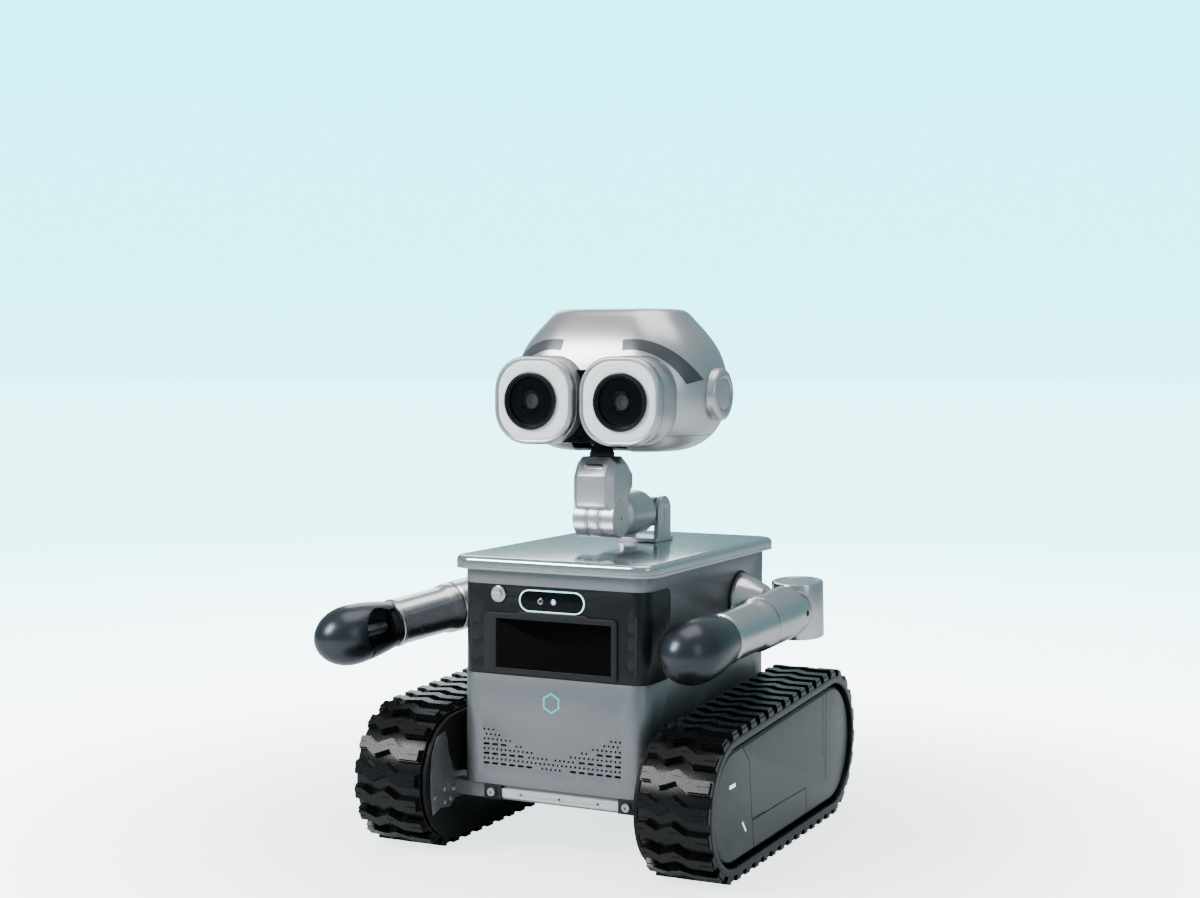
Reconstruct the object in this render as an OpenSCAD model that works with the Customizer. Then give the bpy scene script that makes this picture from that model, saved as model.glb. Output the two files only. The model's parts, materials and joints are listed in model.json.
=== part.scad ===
/* [Body] */
// Width of the body across the tracks
body_w = 270; // [250:1:280]
// Depth of the body, front to back
body_d = 430.6; // [410:0.2:440]
// Height of the body's lower edge above the ground
body_z0 = 92.4; // [90:0.1:100]
// Height of the body's upper edge, under the lid
body_z1 = 377.8; // [370:0.1:385]
// Radius of the body's upright corners
body_r = 22; // [18:1:26]
// Thickness of the body's sheet walls
wall = 3; // [2:0.5:4]
// Overhang of the lid past the body
lid_over = 12.2; // [8:0.1:16]
// Height of the lid
lid_h = 16.7; // [14:0.1:20]

/* [Screen and controls] */
// Lower edge of the black fascia
fascia_z0 = 239; // [235:1:245]
// Upper edge of the black fascia
fascia_z1 = 358.4; // [350:0.1:362]
// Width of the display
display_w = 167; // [150:1:175]
// Height of the display
display_h = 65; // [55:1:70]
// Head diameter of the push button
button_d = 19; // [16:0.5:22]
// Travel of the push button
button_travel = 2.5; // [1:0.1:3]
// Pitch of the speaker holes
hole_pitch = 6.4; // [6:0.1:8]

/* [Tracks] */
// Inner edge of each belt from the middle
belt_x0 = 156.5; // [155:0.5:160]
// Width of each belt
belt_w = 97.4; // [80:0.1:100]
// Radius of the belt's carcass round the front wheel
belt_r_front = 86.7; // [80:0.1:90]
// Radius of the belt's carcass round the rear wheel
belt_r_rear = 96.5; // [90:0.1:100]
// Thickness of the carcass
belt_t = 10; // [8:1:12]
// Height of the lugs
lug_h = 9; // [6:1:10]
// Number of lug rows round the belt
lug_rows = 42; // [36:1:48]

/* [Neck] */
// Height of the neck's lower axes
neck_z = 438; // [436:1:442]
// Distance of the clevis pin behind the middle
clevis_y = 78; // [70:1:85]
// Distance of the knuckle pin in front of the middle
knuckle_y = 69; // [66:1:72]
// Diameter of the neck drum
drum_d = 62; // [56:1:64]
// Half width of the neck link
link_x = 31; // [28:1:32]

/* [Head] */
// Height of the eye centres
eye_z = 598; // [590:1:605]
// Distance of each eye centre from the middle
eye_x = 66.2; // [64:0.1:68]
// Front plane of the eye pods, in front of the middle
pod_front = 150; // [145:1:155]
// Diameter of each lens ring
lens_d = 78; // [70:1:84]
// Half width of the dome at its widest
dome_x = 148; // [140:1:152]
// Highest point of the head
head_top = 724; // [715:1:730]

/* [Arms] */
// Height of the shoulder axis
shoulder_z = 309; // [305:1:312]
// Distance of the shoulder axis behind the middle
shoulder_y = 108; // [100:1:112]
// Distance of each elbow axis from the middle
elbow_x = 222; // [220:1:226]
// Droop of the left arm
left_pitch = 4.5; // [0:0.1:12]
// Outward turn of the left forearm, negative inward
left_yaw = -6; // [-6:1:60]
// Droop of the right arm
right_pitch = 8.7; // [0:0.1:12]
// Outward turn of the right forearm
right_yaw = 23; // [-6:1:60]
// Radius of the forearm tube
tube_r = 36.5; // [34:0.5:37]
// Largest radius of the hand
hand_r = 42; // [38:1:43]
// Distance of the hand's tip from the elbow
hand_tip = 358; // [350:1:380]

/* [Hidden] */
$fn = 64;

// Radial play of a pin or shaft that turns in its bore
play = 0.05;
// Gap between curved faces of different bodies
gap = 0.4;
// Overshoot of a cutting solid past the face that it cuts
over = 1;

silver = [0.72, 0.73, 0.75];
grey = [0.50, 0.51, 0.53];
black = [0.06, 0.06, 0.07];
slate = [0.16, 0.18, 0.21];
steel = [0.62, 0.63, 0.65];
gunmetal = [0.20, 0.21, 0.24];
rubber = [0.04, 0.04, 0.045];
white = [0.88, 0.89, 0.90];

body_front = body_d / 2;
lid_top = body_z1 + lid_h;

// ---------- shared outlines ----------

// Rectangle with round corners, centred
module rounded_rect(w, d, r) {
    square([w - 2 * r, d], center = true);
    square([w, d - 2 * r], center = true);
    for (sx = [-1, 1], sy = [-1, 1])
        translate([sx * (w / 2 - r), sy * (d / 2 - r)])
            circle(r);
}

// Slot between two points on the X axis of its plane
module slot2d(length, r) {
    square([length - 2 * r, 2 * r], center = true);
    for (s = [-1, 1])
        translate([s * (length / 2 - r), 0])
            circle(r);
}

// Stands an outline up in the XZ plane and gives it a depth from y0 towards +Y
module upright(y0, depth) {
    translate([0, y0 + depth, 0])
        rotate([90, 0, 0])
            linear_extrude(depth)
                children();
}

// Stands an outline up in the YZ plane and gives it a width from x0 towards +X
module sideways(x0, width) {
    translate([x0, 0, 0])
        rotate([90, 0, 90])
            linear_extrude(width)
                children();
}

// Cylinder along X from x0, centred on y, z
module x_rod(x0, length, y, z, r) {
    translate([x0, y, z])
        rotate([0, 90, 0])
            cylinder(h = length, r = r);
}

// Cylinder along Y from y0, centred on x, z
module y_rod(y0, length, x, z, r) {
    translate([x, y0, z])
        rotate([-90, 0, 0])
            cylinder(h = length, r = r);
}

// Repeats its children on the right side
module on_side(side) {
    if (side > 0)
        children();
    else
        mirror([1, 0, 0])
            children();
}

// ---------- body ----------

speaker_z0 = 120;
speaker_rows = 9;
dash_rows = 6;
speaker_half = 102;
speaker_hole_r = 1.5;
dash_len = 9;
grille_edge = 8;
grille_h = 76;
shoulder_hole_r = 40;

// Distance from the middle at which the dashes start in a row
function dash_start(row) = 18 + 9 * row;

// Height to which the speaker holes rise at a distance x from the middle
function speaker_rise(x) = 12 + 42 * pow(abs(x) / speaker_half, 1.3);

// Dots in the upper rows, and dashes in every other row near the lower corners
module speaker_holes() {
    columns = floor(speaker_half / hole_pitch) + 1;
    for (row = [0:speaker_rows - 1], col = [-columns:columns]) {
        x = (col + (row % 2) / 2) * hole_pitch;
        z = row * hole_pitch;
        dashed = row % 2 == 0 && row < dash_rows;
        dash = dashed && abs(x) > dash_start(row) + hole_pitch && abs(col) % 2 == 1;
        dot = !(dashed && abs(x) > dash_start(row));
        if (abs(x) <= speaker_half && z <= speaker_rise(x))
            translate([x, speaker_z0 + z])
                if (dash)
                    slot2d(dash_len, speaker_hole_r, $fn = 16);
                else if (dot)
                    circle(speaker_hole_r, $fn = 16);
    }
}

// Flat field of the front wall that carries the speaker holes
module grille_field()
    translate([-speaker_half - grille_edge, speaker_z0 - grille_edge])
        square([2 * (speaker_half + grille_edge), grille_h]);

module body_outline(inset)
    rounded_rect(body_w - 2 * inset, body_d - 2 * inset, body_r - inset);

// Depth of the fascia's seat in the body's walls
fascia_sink = 2;
// Rear end of the fascia on the body's sides, and the radius of its corners there
fascia_y1 = -138;
fascia_r = 14;
// Distance of the fascia's face behind the body's skin, and its clearance in the seat
fascia_set_back = 0.6;
fascia_play = 0.2;

// Space that the fascia takes up in the front of the body, its rear corners rounded
module fascia_space(inset) {
    reach = body_front + fascia_y1 + 3 * fascia_r;
    sideways(-body_w / 2 - over, body_w + 2 * over)
        translate([fascia_y1 - reach / 2 - inset, (fascia_z0 + fascia_z1) / 2])
            rounded_rect(reach, fascia_z1 - fascia_z0 - 2 * inset, fascia_r);
}

module body_shell() color(grey) {
    difference() {
        translate([0, 0, body_z0])
            linear_extrude(body_z1 - body_z0)
                difference() {
                    body_outline(0);
                    body_outline(wall);
                }
        upright(-body_front - over, wall + 2 * over)
            grille_field();
        intersection() {
            fascia_space(0);
            translate([0, 0, fascia_z0 - over])
                linear_extrude(fascia_z1 - fascia_z0 + 2 * over)
                    difference() {
                        body_outline(-over);
                        body_outline(fascia_sink);
                    }
        }
        x_rod(-body_w / 2 - over, body_w + 2 * over, shoulder_y, shoulder_z, shoulder_hole_r);
        y_rod(-body_front - over, 3 * over + wall, button_x, button_z, button_d / 2 - button_step);
    }
    upright(-body_front, wall)
        difference() {
            grille_field();
            speaker_holes();
        }
}

base_hole_x = 90;
base_hole_y = 150;
base_hole_r = 2.6;

module base_plate() color(grey)
    difference() {
        translate([0, 0, body_z0])
            linear_extrude(wall)
                body_outline(wall);
        for (sx = [-1, 1], sy = [-1, 1])
            translate([sx * base_hole_x, sy * base_hole_y, body_z0 - over])
                cylinder(h = wall + 2 * over, r = base_hole_r);
    }

rail_z0 = 76;
rail_h = 12;
rail_t = 4;
bracket_w = 26;
bracket_t = 5;
bolt_x = [-86, 110];
bolt_z = 83;
bolt_head = 6;
bolt_head_r = 5.5;
bolt_r = 3;
socket_r = 2.6;
socket_depth = 3;
rail_hole_x = [-44, 12, 68];
rail_hole_r = 1.6;
// Distance by which the brackets stand proud of the rail, and reach below it
bracket_proud = 1;
bracket_drop = 3;

module front_rail() color(silver)
    difference() {
        translate([bolt_x[0] + bracket_w / 2, -body_front, rail_z0])
            cube([bolt_x[1] - bolt_x[0] - bracket_w, rail_t, rail_h]);
        for (x = rail_hole_x)
            y_rod(-body_front - over, rail_t + 2 * over, x, rail_z0 + rail_h / 2, rail_hole_r);
    }

module rail_brackets() color(slate)
    for (x = bolt_x)
        difference() {
            translate([x - bracket_w / 2, -body_front - bracket_proud, rail_z0 - bracket_drop])
                cube([bracket_w, bracket_t, body_z0 - gap - rail_z0 + bracket_drop]);
            y_rod(-body_front - bracket_proud - over, bracket_t + 2 * over, x, bolt_z, bolt_r + play);
        }

module chassis_bolts() color(steel)
    for (x = bolt_x)
        difference() {
            union() {
                y_rod(-body_front - bracket_proud - bolt_head, bolt_head, x, bolt_z, bolt_head_r);
                y_rod(-body_front - bracket_proud, bracket_t, x, bolt_z, bolt_r);
            }
            y_rod(-body_front - bracket_proud - bolt_head - over, socket_depth + over, x, bolt_z, socket_r,
                $fn = 6);
        }

beam_s = 20;
beam_x = 149;
beam_front = -body_front + 4;
beam_rear = body_front - 34;

module cross_beams() color(grey)
    for (y = [beam_front, beam_rear])
        difference() {
            translate([-beam_x, y, body_z0 - beam_s])
                cube([2 * beam_x, beam_s, beam_s]);
            translate([-beam_x - over, y + wall, body_z0 - beam_s + wall])
                cube([2 * (beam_x + over), beam_s - 2 * wall, beam_s - 2 * wall]);
        }

lid_edge = 6;

// Section of a slab's margin, reach wide, with its outer upper edge rounded
module edge_section(reach) {
    square([reach - lid_edge, lid_edge]);
    intersection() {
        translate([reach - lid_edge, 0])
            circle(lid_edge);
        square([reach, lid_edge]);
    }
}

module lid() color(silver) {
    w = body_w + 2 * lid_over;
    d = body_d + 2 * lid_over;
    r = body_r + lid_over - 4;
    translate([0, 0, body_z1])
        linear_extrude(lid_h - lid_edge)
            rounded_rect(w, d, r);
    translate([0, 0, lid_top - lid_edge]) {
        linear_extrude(lid_edge)
            square([w - 2 * r, d - 2 * r], center = true);
        for (quarter = [0:3]) {
            across = quarter % 2 == 0 ? w : d;
            along = quarter % 2 == 0 ? d : w;
            rotate([0, 0, 90 * quarter]) {
                translate([across / 2 - r, along / 2 - r, 0])
                    rotate_extrude(angle = 90)
                        edge_section(r);
                translate([across / 2 - r, along / 2 - r, 0])
                    rotate([90, 0, 0])
                        linear_extrude(along - 2 * r)
                            edge_section(r);
            }
        }
    }
}

notch_x = 113;
notch_z = [265, 290, 313];
notch_w = 12;
notch_h = 15;
notch_r = 5;

module fascia() color(black)
    difference() {
        intersection() {
            fascia_space(fascia_play);
            translate([0, 0, fascia_z0])
                linear_extrude(fascia_z1 - fascia_z0)
                    difference() {
                        body_outline(fascia_set_back);
                        body_outline(fascia_sink);
                    }
        }
        for (s = [-1, 1], z = notch_z)
            upright(-body_front - over, 3 * over)
                translate([s * notch_x, z])
                    rounded_rect(notch_w, notch_h, notch_r);
        y_rod(-body_front - over, 5 * over, button_x, button_z, button_d / 2 - button_step);
    }

screen_x = 3.2;
screen_z = 281.5;
surround_t = 4;
surround_front = -body_front - 3.4;
surround_w = 194;
surround_h = 80;
surround_r = 6;
// Middle of the surround beside the display's, and its raised tab under the sensor window
surround_dx = -5;
tab_x = 2;
tab_z0 = 318;
tab_z1 = 324.7;
tab_half = 60;
tab_slope = 13.6;
window_x = 1.2;
window_z = 339.6;
window_w = 95;
window_r = 14.5;
window_proud = 2.6;

module screen_surround() color(black)
    difference() {
        upright(surround_front, surround_t)
            union() {
                translate([screen_x + surround_dx, screen_z])
                    rounded_rect(surround_w, surround_h, surround_r);
                polygon([[tab_x - tab_half, tab_z0], [tab_x + tab_half, tab_z0],
                    [tab_x + tab_half - tab_slope, tab_z1], [tab_x - tab_half + tab_slope, tab_z1]]);
            }
        upright(surround_front - over, surround_t + 2 * over)
            translate([screen_x, screen_z])
                square([display_w, display_h], center = true);
    }

module display_panel() color([0.01, 0.01, 0.012])
    upright(surround_front + 1, surround_t - 1)
        translate([screen_x, screen_z])
            square([display_w, display_h], center = true);

module sensor_window() color(black)
    upright(-body_front - window_proud, window_proud + fascia_set_back)
        translate([window_x, window_z])
            slot2d(window_w, window_r);

button_x = -78.3;
button_z = 345.6;
// Step from the bezel's face down to its threaded barrel
button_step = 2;
bezel_proud = 2;
bezel_lip = 1.5;
bezel_seat = 0.6;
barrel_depth = 18;
plunger_r = 6;
plunger_proud = 1.2;
plunger_len = 12;

module button_bezel() color(steel)
    difference() {
        union() {
            y_rod(-body_front - bezel_proud, bezel_proud + bezel_seat, button_x, button_z,
                button_d / 2 + bezel_lip);
            y_rod(-body_front + bezel_seat, barrel_depth, button_x, button_z, button_d / 2 - button_step);
        }
        y_rod(-body_front - bezel_proud - over, barrel_depth + bezel_proud + 3 * over, button_x, button_z,
            plunger_r + play);
    }

// The plunger stands proud of its bezel by its travel and a little more
module power_button() color(steel)
    y_rod(-body_front - bezel_proud - button_travel - plunger_proud, plunger_len, button_x, button_z,
        plunger_r);

// ---------- inside the body ----------

speaker_x = 62;
speaker_z = 146;
speaker_r = 26;
speaker_depth = 26;

module speakers() color(black)
    for (s = [-1, 1])
        y_rod(-body_front + wall, speaker_depth, s * speaker_x, speaker_z, speaker_r);

battery_s = 140;
battery_h = 62;
battery_y0 = -60;

module battery_pack() color(slate)
    translate([-battery_s / 2, battery_y0, body_z0 + wall])
        cube([battery_s, battery_s, battery_h]);

board_w = 160;
board_d = 110;
board_t = 1.6;
board_y0 = -70;
board_z = 190;
// Distance of the board's posts from its side and front edges
post_in = [5, 8];
post_r = 2.5;

module control_board() color([0.05, 0.25, 0.14]) {
    translate([-board_w / 2, board_y0, board_z])
        cube([board_w, board_d, board_t]);
    for (sx = [-1, 1], y = [board_y0 + post_in[1], board_y0 + board_d - post_in[1]])
        translate([sx * (board_w / 2 - post_in[0]), y, body_z0 + wall])
            cylinder(h = board_z - body_z0 - wall, r = post_r);
}

// Inner ends of the shoulder motors and of their bores, and the radius of the shoulders' shafts
shoulder_motor_x0 = 60;
shoulder_bore_x0 = 100;
shoulder_shaft_r = 12;

module shoulder_motors() color(gunmetal)
    for (s = [-1, 1])
        on_side(s)
            difference() {
                x_rod(shoulder_motor_x0, body_w / 2 - shoulder_motor_x0, shoulder_y, shoulder_z,
                    shoulder_hole_r - gap);
                x_rod(shoulder_bore_x0, body_w / 2 - shoulder_bore_x0 + over, shoulder_y, shoulder_z,
                    shoulder_shaft_r + play);
            }

// ---------- tracks ----------

front_y = -199.3;
rear_y = 174.4;
front_z = lug_h + belt_r_front;
rear_z = lug_h + belt_r_rear;
run = rear_y - front_y;
slope = atan((rear_z - front_z) / run);
top_angle = 90 + 2 * slope;
rear_arc = belt_r_rear * (180 + 2 * slope) * PI / 180;
front_arc = belt_r_front * (180 - 2 * slope) * PI / 180;
belt_length = 2 * run + rear_arc + front_arc;

function polar(c, r, a) = [c[0] + r * cos(a), c[1] + r * sin(a)];
front_c = [front_y, front_z];
rear_c = [rear_y, rear_z];

// Outline round both wheels, drawn in by inset from the carcass
module track_outline(inset) {
    rf = belt_r_front - inset;
    rr = belt_r_rear - inset;
    translate(front_c)
        circle(rf);
    translate(rear_c)
        circle(rr);
    polygon([polar(front_c, rf, -90), polar(rear_c, rr, -90), polar(rear_c, rr, top_angle),
        polar(front_c, rf, top_angle)]);
}

// Point on the carcass at a distance s along it, and the outward direction there
function belt_spot(s) =
    s < run ? [polar([front_y + s, front_z], belt_r_front, -90), -90] :
    s < run + rear_arc ? spot_on_arc(rear_c, belt_r_rear, -90 + (s - run) / belt_r_rear * 180 / PI) :
    s < 2 * run + rear_arc ? spot_on_top((s - run - rear_arc) / run) :
    spot_on_arc(front_c, belt_r_front, top_angle + (s - 2 * run - rear_arc) / belt_r_front * 180 / PI);
function spot_on_arc(c, r, a) = [polar(c, r, a), a];
function spot_on_top(t) =
    [polar(rear_c, belt_r_rear, top_angle) * (1 - t) + polar(front_c, belt_r_front, top_angle) * t,
        top_angle];

lug_len = 19;
// Depth to which the lugs are rooted in the carcass
lug_root = 2;
lanes = 4;
// Place of the first row, as a share of the pitch
lug_phase = 0.25;
// Distance along the belt by which each lane's lugs lead, from the robot's right to its left
lane_shift = [-4, 0, 1, 7];

// Ring of lugs of one lane, shifted along the belt
module lug_ring(shift) {
    pitch = belt_length / lug_rows;
    for (i = [0:lug_rows - 1]) {
        spot = belt_spot((i + lug_phase) * pitch + shift);
        translate(spot[0])
            rotate(spot[1])
                translate([-lug_root, -lug_len / 2])
                    square([lug_h + lug_root, lug_len]);
    }
}

module belt(side) color(rubber)
    on_side(side)
        for (lane = [0:lanes - 1])
            sideways(belt_x0 + lane * belt_w / lanes, belt_w / lanes)
                difference() {
                    union() {
                        track_outline(0);
                        lug_ring(lane_shift[side > 0 ? lane : lanes - 1 - lane]);
                    }
                    track_outline(belt_t);
                }

frame_x = 149;
frame_t = 5.5;
frame_inset = 3;
frame_hole_r = 3;
frame_holes = [[-130, 70], [-130, 130], [110, 75], [110, 150]];
axle_r = 6;
axle_end = 240;
road_r = 38;
road_y = [-60, 42];
road_z = lug_h + belt_t + gap + road_r;
wheel_x0 = 164;
wheel_x1 = 232;
// Depth of the hollow in each face of a wheel, and the thickness of its rim and hub
dish_depth = 18;
rim_t = 8;
// Centres of the turning wheels that ride on fixed axles
axle_spots = [front_c, [road_y[0], road_z], [road_y[1], road_z]];

module track_frame(side) color(steel)
    on_side(side)
        difference() {
            sideways(frame_x, frame_t)
                track_outline(frame_inset);
            for (c = axle_spots)
                x_rod(frame_x - over, frame_t + 2 * over, c[0], c[1], axle_r);
            for (c = frame_holes)
                x_rod(frame_x - over, frame_t + 2 * over, c[0], c[1], frame_hole_r);
        }

module track_axles() color(steel)
    for (s = [-1, 1])
        on_side(s)
            for (c = axle_spots)
                x_rod(frame_x, axle_end - frame_x, c[0], c[1], axle_r);

module wheel(c, r) {
    difference() {
        x_rod(wheel_x0, wheel_x1 - wheel_x0, c[0], c[1], r);
        x_rod(wheel_x0 - over, wheel_x1 - wheel_x0 + 2 * over, c[0], c[1], axle_r + play);
        for (side = [wheel_x0 - over, wheel_x1 - dish_depth])
            difference() {
                x_rod(side, dish_depth + over, c[0], c[1], r - rim_t);
                x_rod(side - over, dish_depth + 3 * over, c[0], c[1], axle_r + rim_t);
            }
    }
}

motor_r = 36;
motor_x1 = 196;
// Wall between the motor's bore and the track frame, and the clearance round the motor
motor_floor = 10;
motor_gap = 3;
sprocket_teeth = 18;
tooth_h = 6;
tooth_w = 24;

module drive_motors() color(gunmetal)
    for (s = [-1, 1])
        on_side(s)
            difference() {
                x_rod(frame_x + frame_t, motor_x1 - frame_x - frame_t, rear_c[0], rear_c[1], motor_r);
                x_rod(frame_x + frame_t + motor_floor, motor_x1 - frame_x, rear_c[0], rear_c[1],
                    axle_r + play);
            }

module sprocket(side) color(gunmetal)
    on_side(side) {
        r = belt_r_rear - belt_t - gap;
        x0 = frame_x + frame_t + motor_floor + 2 * over;
        difference() {
            x_rod(wheel_x0, wheel_x1 - wheel_x0, rear_c[0], rear_c[1], r);
            x_rod(wheel_x0 - over, motor_x1 - wheel_x0 + motor_gap + over, rear_c[0], rear_c[1],
                motor_r + motor_gap);
            for (i = [0:sprocket_teeth - 1])
                translate([0, rear_c[0], rear_c[1]])
                    rotate([i * 360 / sprocket_teeth, 0, 0])
                        x_rod((wheel_x0 + wheel_x1 - tooth_w) / 2, tooth_w, 0, r, tooth_h);
        }
        x_rod(x0, wheel_x1 - x0, rear_c[0], rear_c[1], axle_r);
    }

module idler(side) color(gunmetal)
    on_side(side)
        wheel(front_c, belt_r_front - belt_t - gap);

module road_wheel(side, i) color(gunmetal)
    on_side(side)
        wheel([road_y[i], road_z], road_r);

cover_gap = 4;
// Thickness of each of the cover's two steps, the step inwards, and the depth of the axle seats
cover_t = 6;
cover_step = 7;
axle_seat = 2;

module side_cover(side) color(slate)
    on_side(side)
        difference() {
            union() {
                sideways(axle_end - axle_seat, cover_t)
                    track_outline(belt_t + cover_gap);
                sideways(axle_end - axle_seat + cover_t, cover_t)
                    track_outline(belt_t + cover_gap + cover_step);
            }
            for (c = axle_spots)
                x_rod(axle_end - axle_seat - over, axle_seat + over, c[0], c[1], axle_r);
        }

// ---------- neck ----------

ear_r = 22;
ear_x0 = 23;
pin_r = 5;
foot_d = 60;
foot_h = 6;

module neck_clevis() color(silver) {
    translate([-link_x, clevis_y - foot_d / 2, lid_top])
        cube([2 * link_x, foot_d, foot_h]);
    for (s = [-1, 1])
        on_side(s)
            difference() {
                union() {
                    x_rod(ear_x0, link_x - ear_x0, clevis_y, neck_z, ear_r);
                    translate([ear_x0, clevis_y - ear_r, lid_top])
                        cube([link_x - ear_x0, 2 * ear_r, neck_z - lid_top]);
                }
                x_rod(ear_x0 - over, link_x - ear_x0 + 2 * over, clevis_y, neck_z, pin_r + play);
            }
}

module neck_base_pin() color(steel)
    x_rod(-link_x, 2 * link_x, clevis_y, neck_z, pin_r);

drum_y0 = -20;
drum_y1 = 46;
// Tongue of the drum between the clevis's ears, and the bore for the knuckle's spigot
tongue_drop = 2;
spigot_r = 12;
spigot_len = 28;

module neck_drum() color(silver)
    difference() {
        union() {
            y_rod(drum_y0, drum_y1 - drum_y0, 0, neck_z, drum_d / 2);
            x_rod(-ear_x0 + gap, 2 * (ear_x0 - gap), clevis_y, neck_z, ear_r - tongue_drop);
            translate([-ear_x0 + gap, drum_y1 - over, neck_z - ear_r + tongue_drop])
                cube([2 * (ear_x0 - gap), clevis_y - drum_y1 + over, 2 * (ear_r - tongue_drop)]);
        }
        x_rod(-ear_x0 - over, 2 * (ear_x0 + over), clevis_y, neck_z, pin_r);
        y_rod(drum_y0 - over, spigot_len + 3 * over, 0, neck_z, spigot_r + play);
    }

boss_r = 26.5;
split_x = 10;
// Rim and bevel of the disc that turns against the drum, and the half height of the neck behind the boss
disc_t = 8;
disc_bevel_t = 10;
disc_bevel = 8;
strap_half = 9;

module neck_knuckle() color(silver)
    difference() {
        union() {
            y_rod(drum_y0 - over, spigot_len + over, 0, neck_z, spigot_r);
            translate([0, drum_y0 - gap, neck_z])
                rotate([90, 0, 0])
                    cylinder(h = disc_t, r = drum_d / 2);
            translate([0, drum_y0 - gap - disc_t, neck_z])
                rotate([90, 0, 0])
                    cylinder(h = disc_bevel_t, r1 = drum_d / 2, r2 = drum_d / 2 - disc_bevel);
            translate([-split_x, -knuckle_y, neck_z - strap_half])
                cube([2 * split_x, knuckle_y + drum_y0 - 2 * over, 2 * strap_half]);
            x_rod(-split_x, 2 * split_x, -knuckle_y, neck_z, boss_r);
        }
        x_rod(-split_x - over, 2 * (split_x + over), -knuckle_y, neck_z, pin_r + play);
    }

module neck_upper_pin() color(steel)
    x_rod(-link_x + 1, 2 * (link_x - 1), -knuckle_y, neck_z, pin_r);

link_top = 522;
// Width of the bevels along the block's sides, and their depth seen from the side
link_bevel_x = 6;
link_bevel = 7;
// Cheeks that join the block to its boss
cheek_y0 = -knuckle_y - 20;
cheek_d = 36;
cheek_h = 30;
// Clearance of the slot round the knuckle's boss, its reach behind the pin and its height above it
slot_clear = 0.8;
slot_reach = 40;
slot_rise = 10;

// Side outline of the link's upper block
module link_outline(inset)
    polygon([[-96 + inset, 440], [-101 + inset, 463], [-101 + inset, 497], [-86 + inset, link_top],
        [-48 - inset, link_top], [-32 - inset, 508], [-32 - inset, 480], [-46 - inset, 466]]);

swivel_y = 66;
swivel_r = 8;
swivel_root = 18;

module neck_link() color(silver)
    difference() {
        union() {
            sideways(-link_x + link_bevel_x, 2 * (link_x - link_bevel_x))
                link_outline(0);
            sideways(-link_x, 2 * link_x)
                link_outline(link_bevel);
            x_rod(-link_x, 2 * link_x, -knuckle_y, neck_z, boss_r);
            translate([-link_x, cheek_y0, neck_z])
                cube([2 * link_x, cheek_d, cheek_h]);
        }
        x_rod(-split_x - gap, 2 * (split_x + gap), -knuckle_y, neck_z, boss_r + slot_clear);
        translate([-split_x - gap, -knuckle_y, neck_z - cheek_h])
            cube([2 * (split_x + gap), slot_reach, cheek_h + slot_rise]);
        x_rod(-link_x - over, 2 * (link_x + over), -knuckle_y, neck_z, pin_r);
        translate([0, -swivel_y, link_top - swivel_root - 2 * over])
            cylinder(h = swivel_root + 3 * over, r = swivel_r + play);
    }

nod_z = 548;
nod_r = 5;
collar_r = 17;
collar_t = 5;
collar_cone = 9;
saddle_r = 12;
saddle_half = 14;
saddle_flat = 9;
nod_half = 24;

module neck_swivel() color(black) {
    translate([0, -swivel_y, link_top - swivel_root])
        cylinder(h = nod_z - link_top + swivel_root, r = swivel_r);
    translate([0, -swivel_y, link_top + gap])
        cylinder(h = collar_t, r = collar_r);
    translate([0, -swivel_y, link_top + gap + collar_t])
        cylinder(h = collar_cone, r1 = collar_r, r2 = saddle_r);
    difference() {
        x_rod(-saddle_half, 2 * saddle_half, -swivel_y, nod_z, saddle_r);
        translate([-saddle_half - over, -swivel_y - saddle_r - over, nod_z + saddle_flat])
            cube([2 * (saddle_half + over), 2 * (saddle_r + over), saddle_r]);
    }
    x_rod(-nod_half, 2 * nod_half, -swivel_y, nod_z, nod_r);
}

// ---------- head ----------

head_y = -5;
// Height of the seam between the dome and the pan, and the radius of the opening round the neck
pan_z = 552;
throat_r = 42;
shell_t = 3;
// Box side larger than the head, which cuts the dome from the pan
head_cut = 400;
// Height, half width and half depth of the dome's sections, from its underside up
sections = [[528, 84, 58], [545, 122, 82], [575, 143, 99], [610, dome_x, 105], [650, 143, 101],
    [685, 119, 84], [708, 99, 68], [head_top - 4, 88, 56], [head_top, 80, 48]];

section_t = 0.1;
corner_share = 0.86;

module dome_solid(inset) {
    hull()
        for (s = sections)
            translate([0, head_y, s[0] < eye_z ? s[0] + inset : s[0] - inset - section_t])
                linear_extrude(section_t)
                    rounded_rect(2 * (s[1] - inset), 2 * (s[2] - inset), corner_share * (s[2] - inset),
                        $fn = 32);
}

pod_w = 117;
pod_h = 118;
pod_r = 47;
pod_x = 63.5;
pod_dz = 1;
pod_back = 92;
pod_wall = 3;
// Set-back and thickness of the white faces, and the lip of each round the lens
face_back = 2;
face_t = 4;
lens_lip = 4;

module pod_outline(inset) {
    for (s = [-1, 1])
        translate([s * pod_x, eye_z + pod_dz])
            rounded_rect(pod_w - 2 * inset, pod_h - 2 * inset, pod_r - inset);
}

module pod_space()
    upright(-pod_front - over, pod_front - pod_back + over)
        pod_outline(0);

ear_y = -8;
ear_z = 607;
ear_d = 73;
ear_hole_x = 100;
ear_hole_len = 70;
ear_hole_r = 20;

module head_dome() color(silver)
    difference() {
        dome_solid(0);
        dome_solid(shell_t);
        translate([-head_cut / 2, -head_cut / 2, 0])
            cube([head_cut, head_cut, pan_z]);
        pod_space();
        for (s = [-1, 1])
            x_rod(s > 0 ? ear_hole_x : -ear_hole_x - ear_hole_len, ear_hole_len, ear_y, ear_z, ear_hole_r);
    }

// Two brackets of the pan, which hold the nodding pin: upright by the neck, shelf and outer leg
nod_ear_x = 15;
nod_ear_t = 8;
nod_ear_r = 11;
shelf_z = 564;
shelf_t = 6;
shelf_x1 = 75;
leg_z0 = 535;

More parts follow.
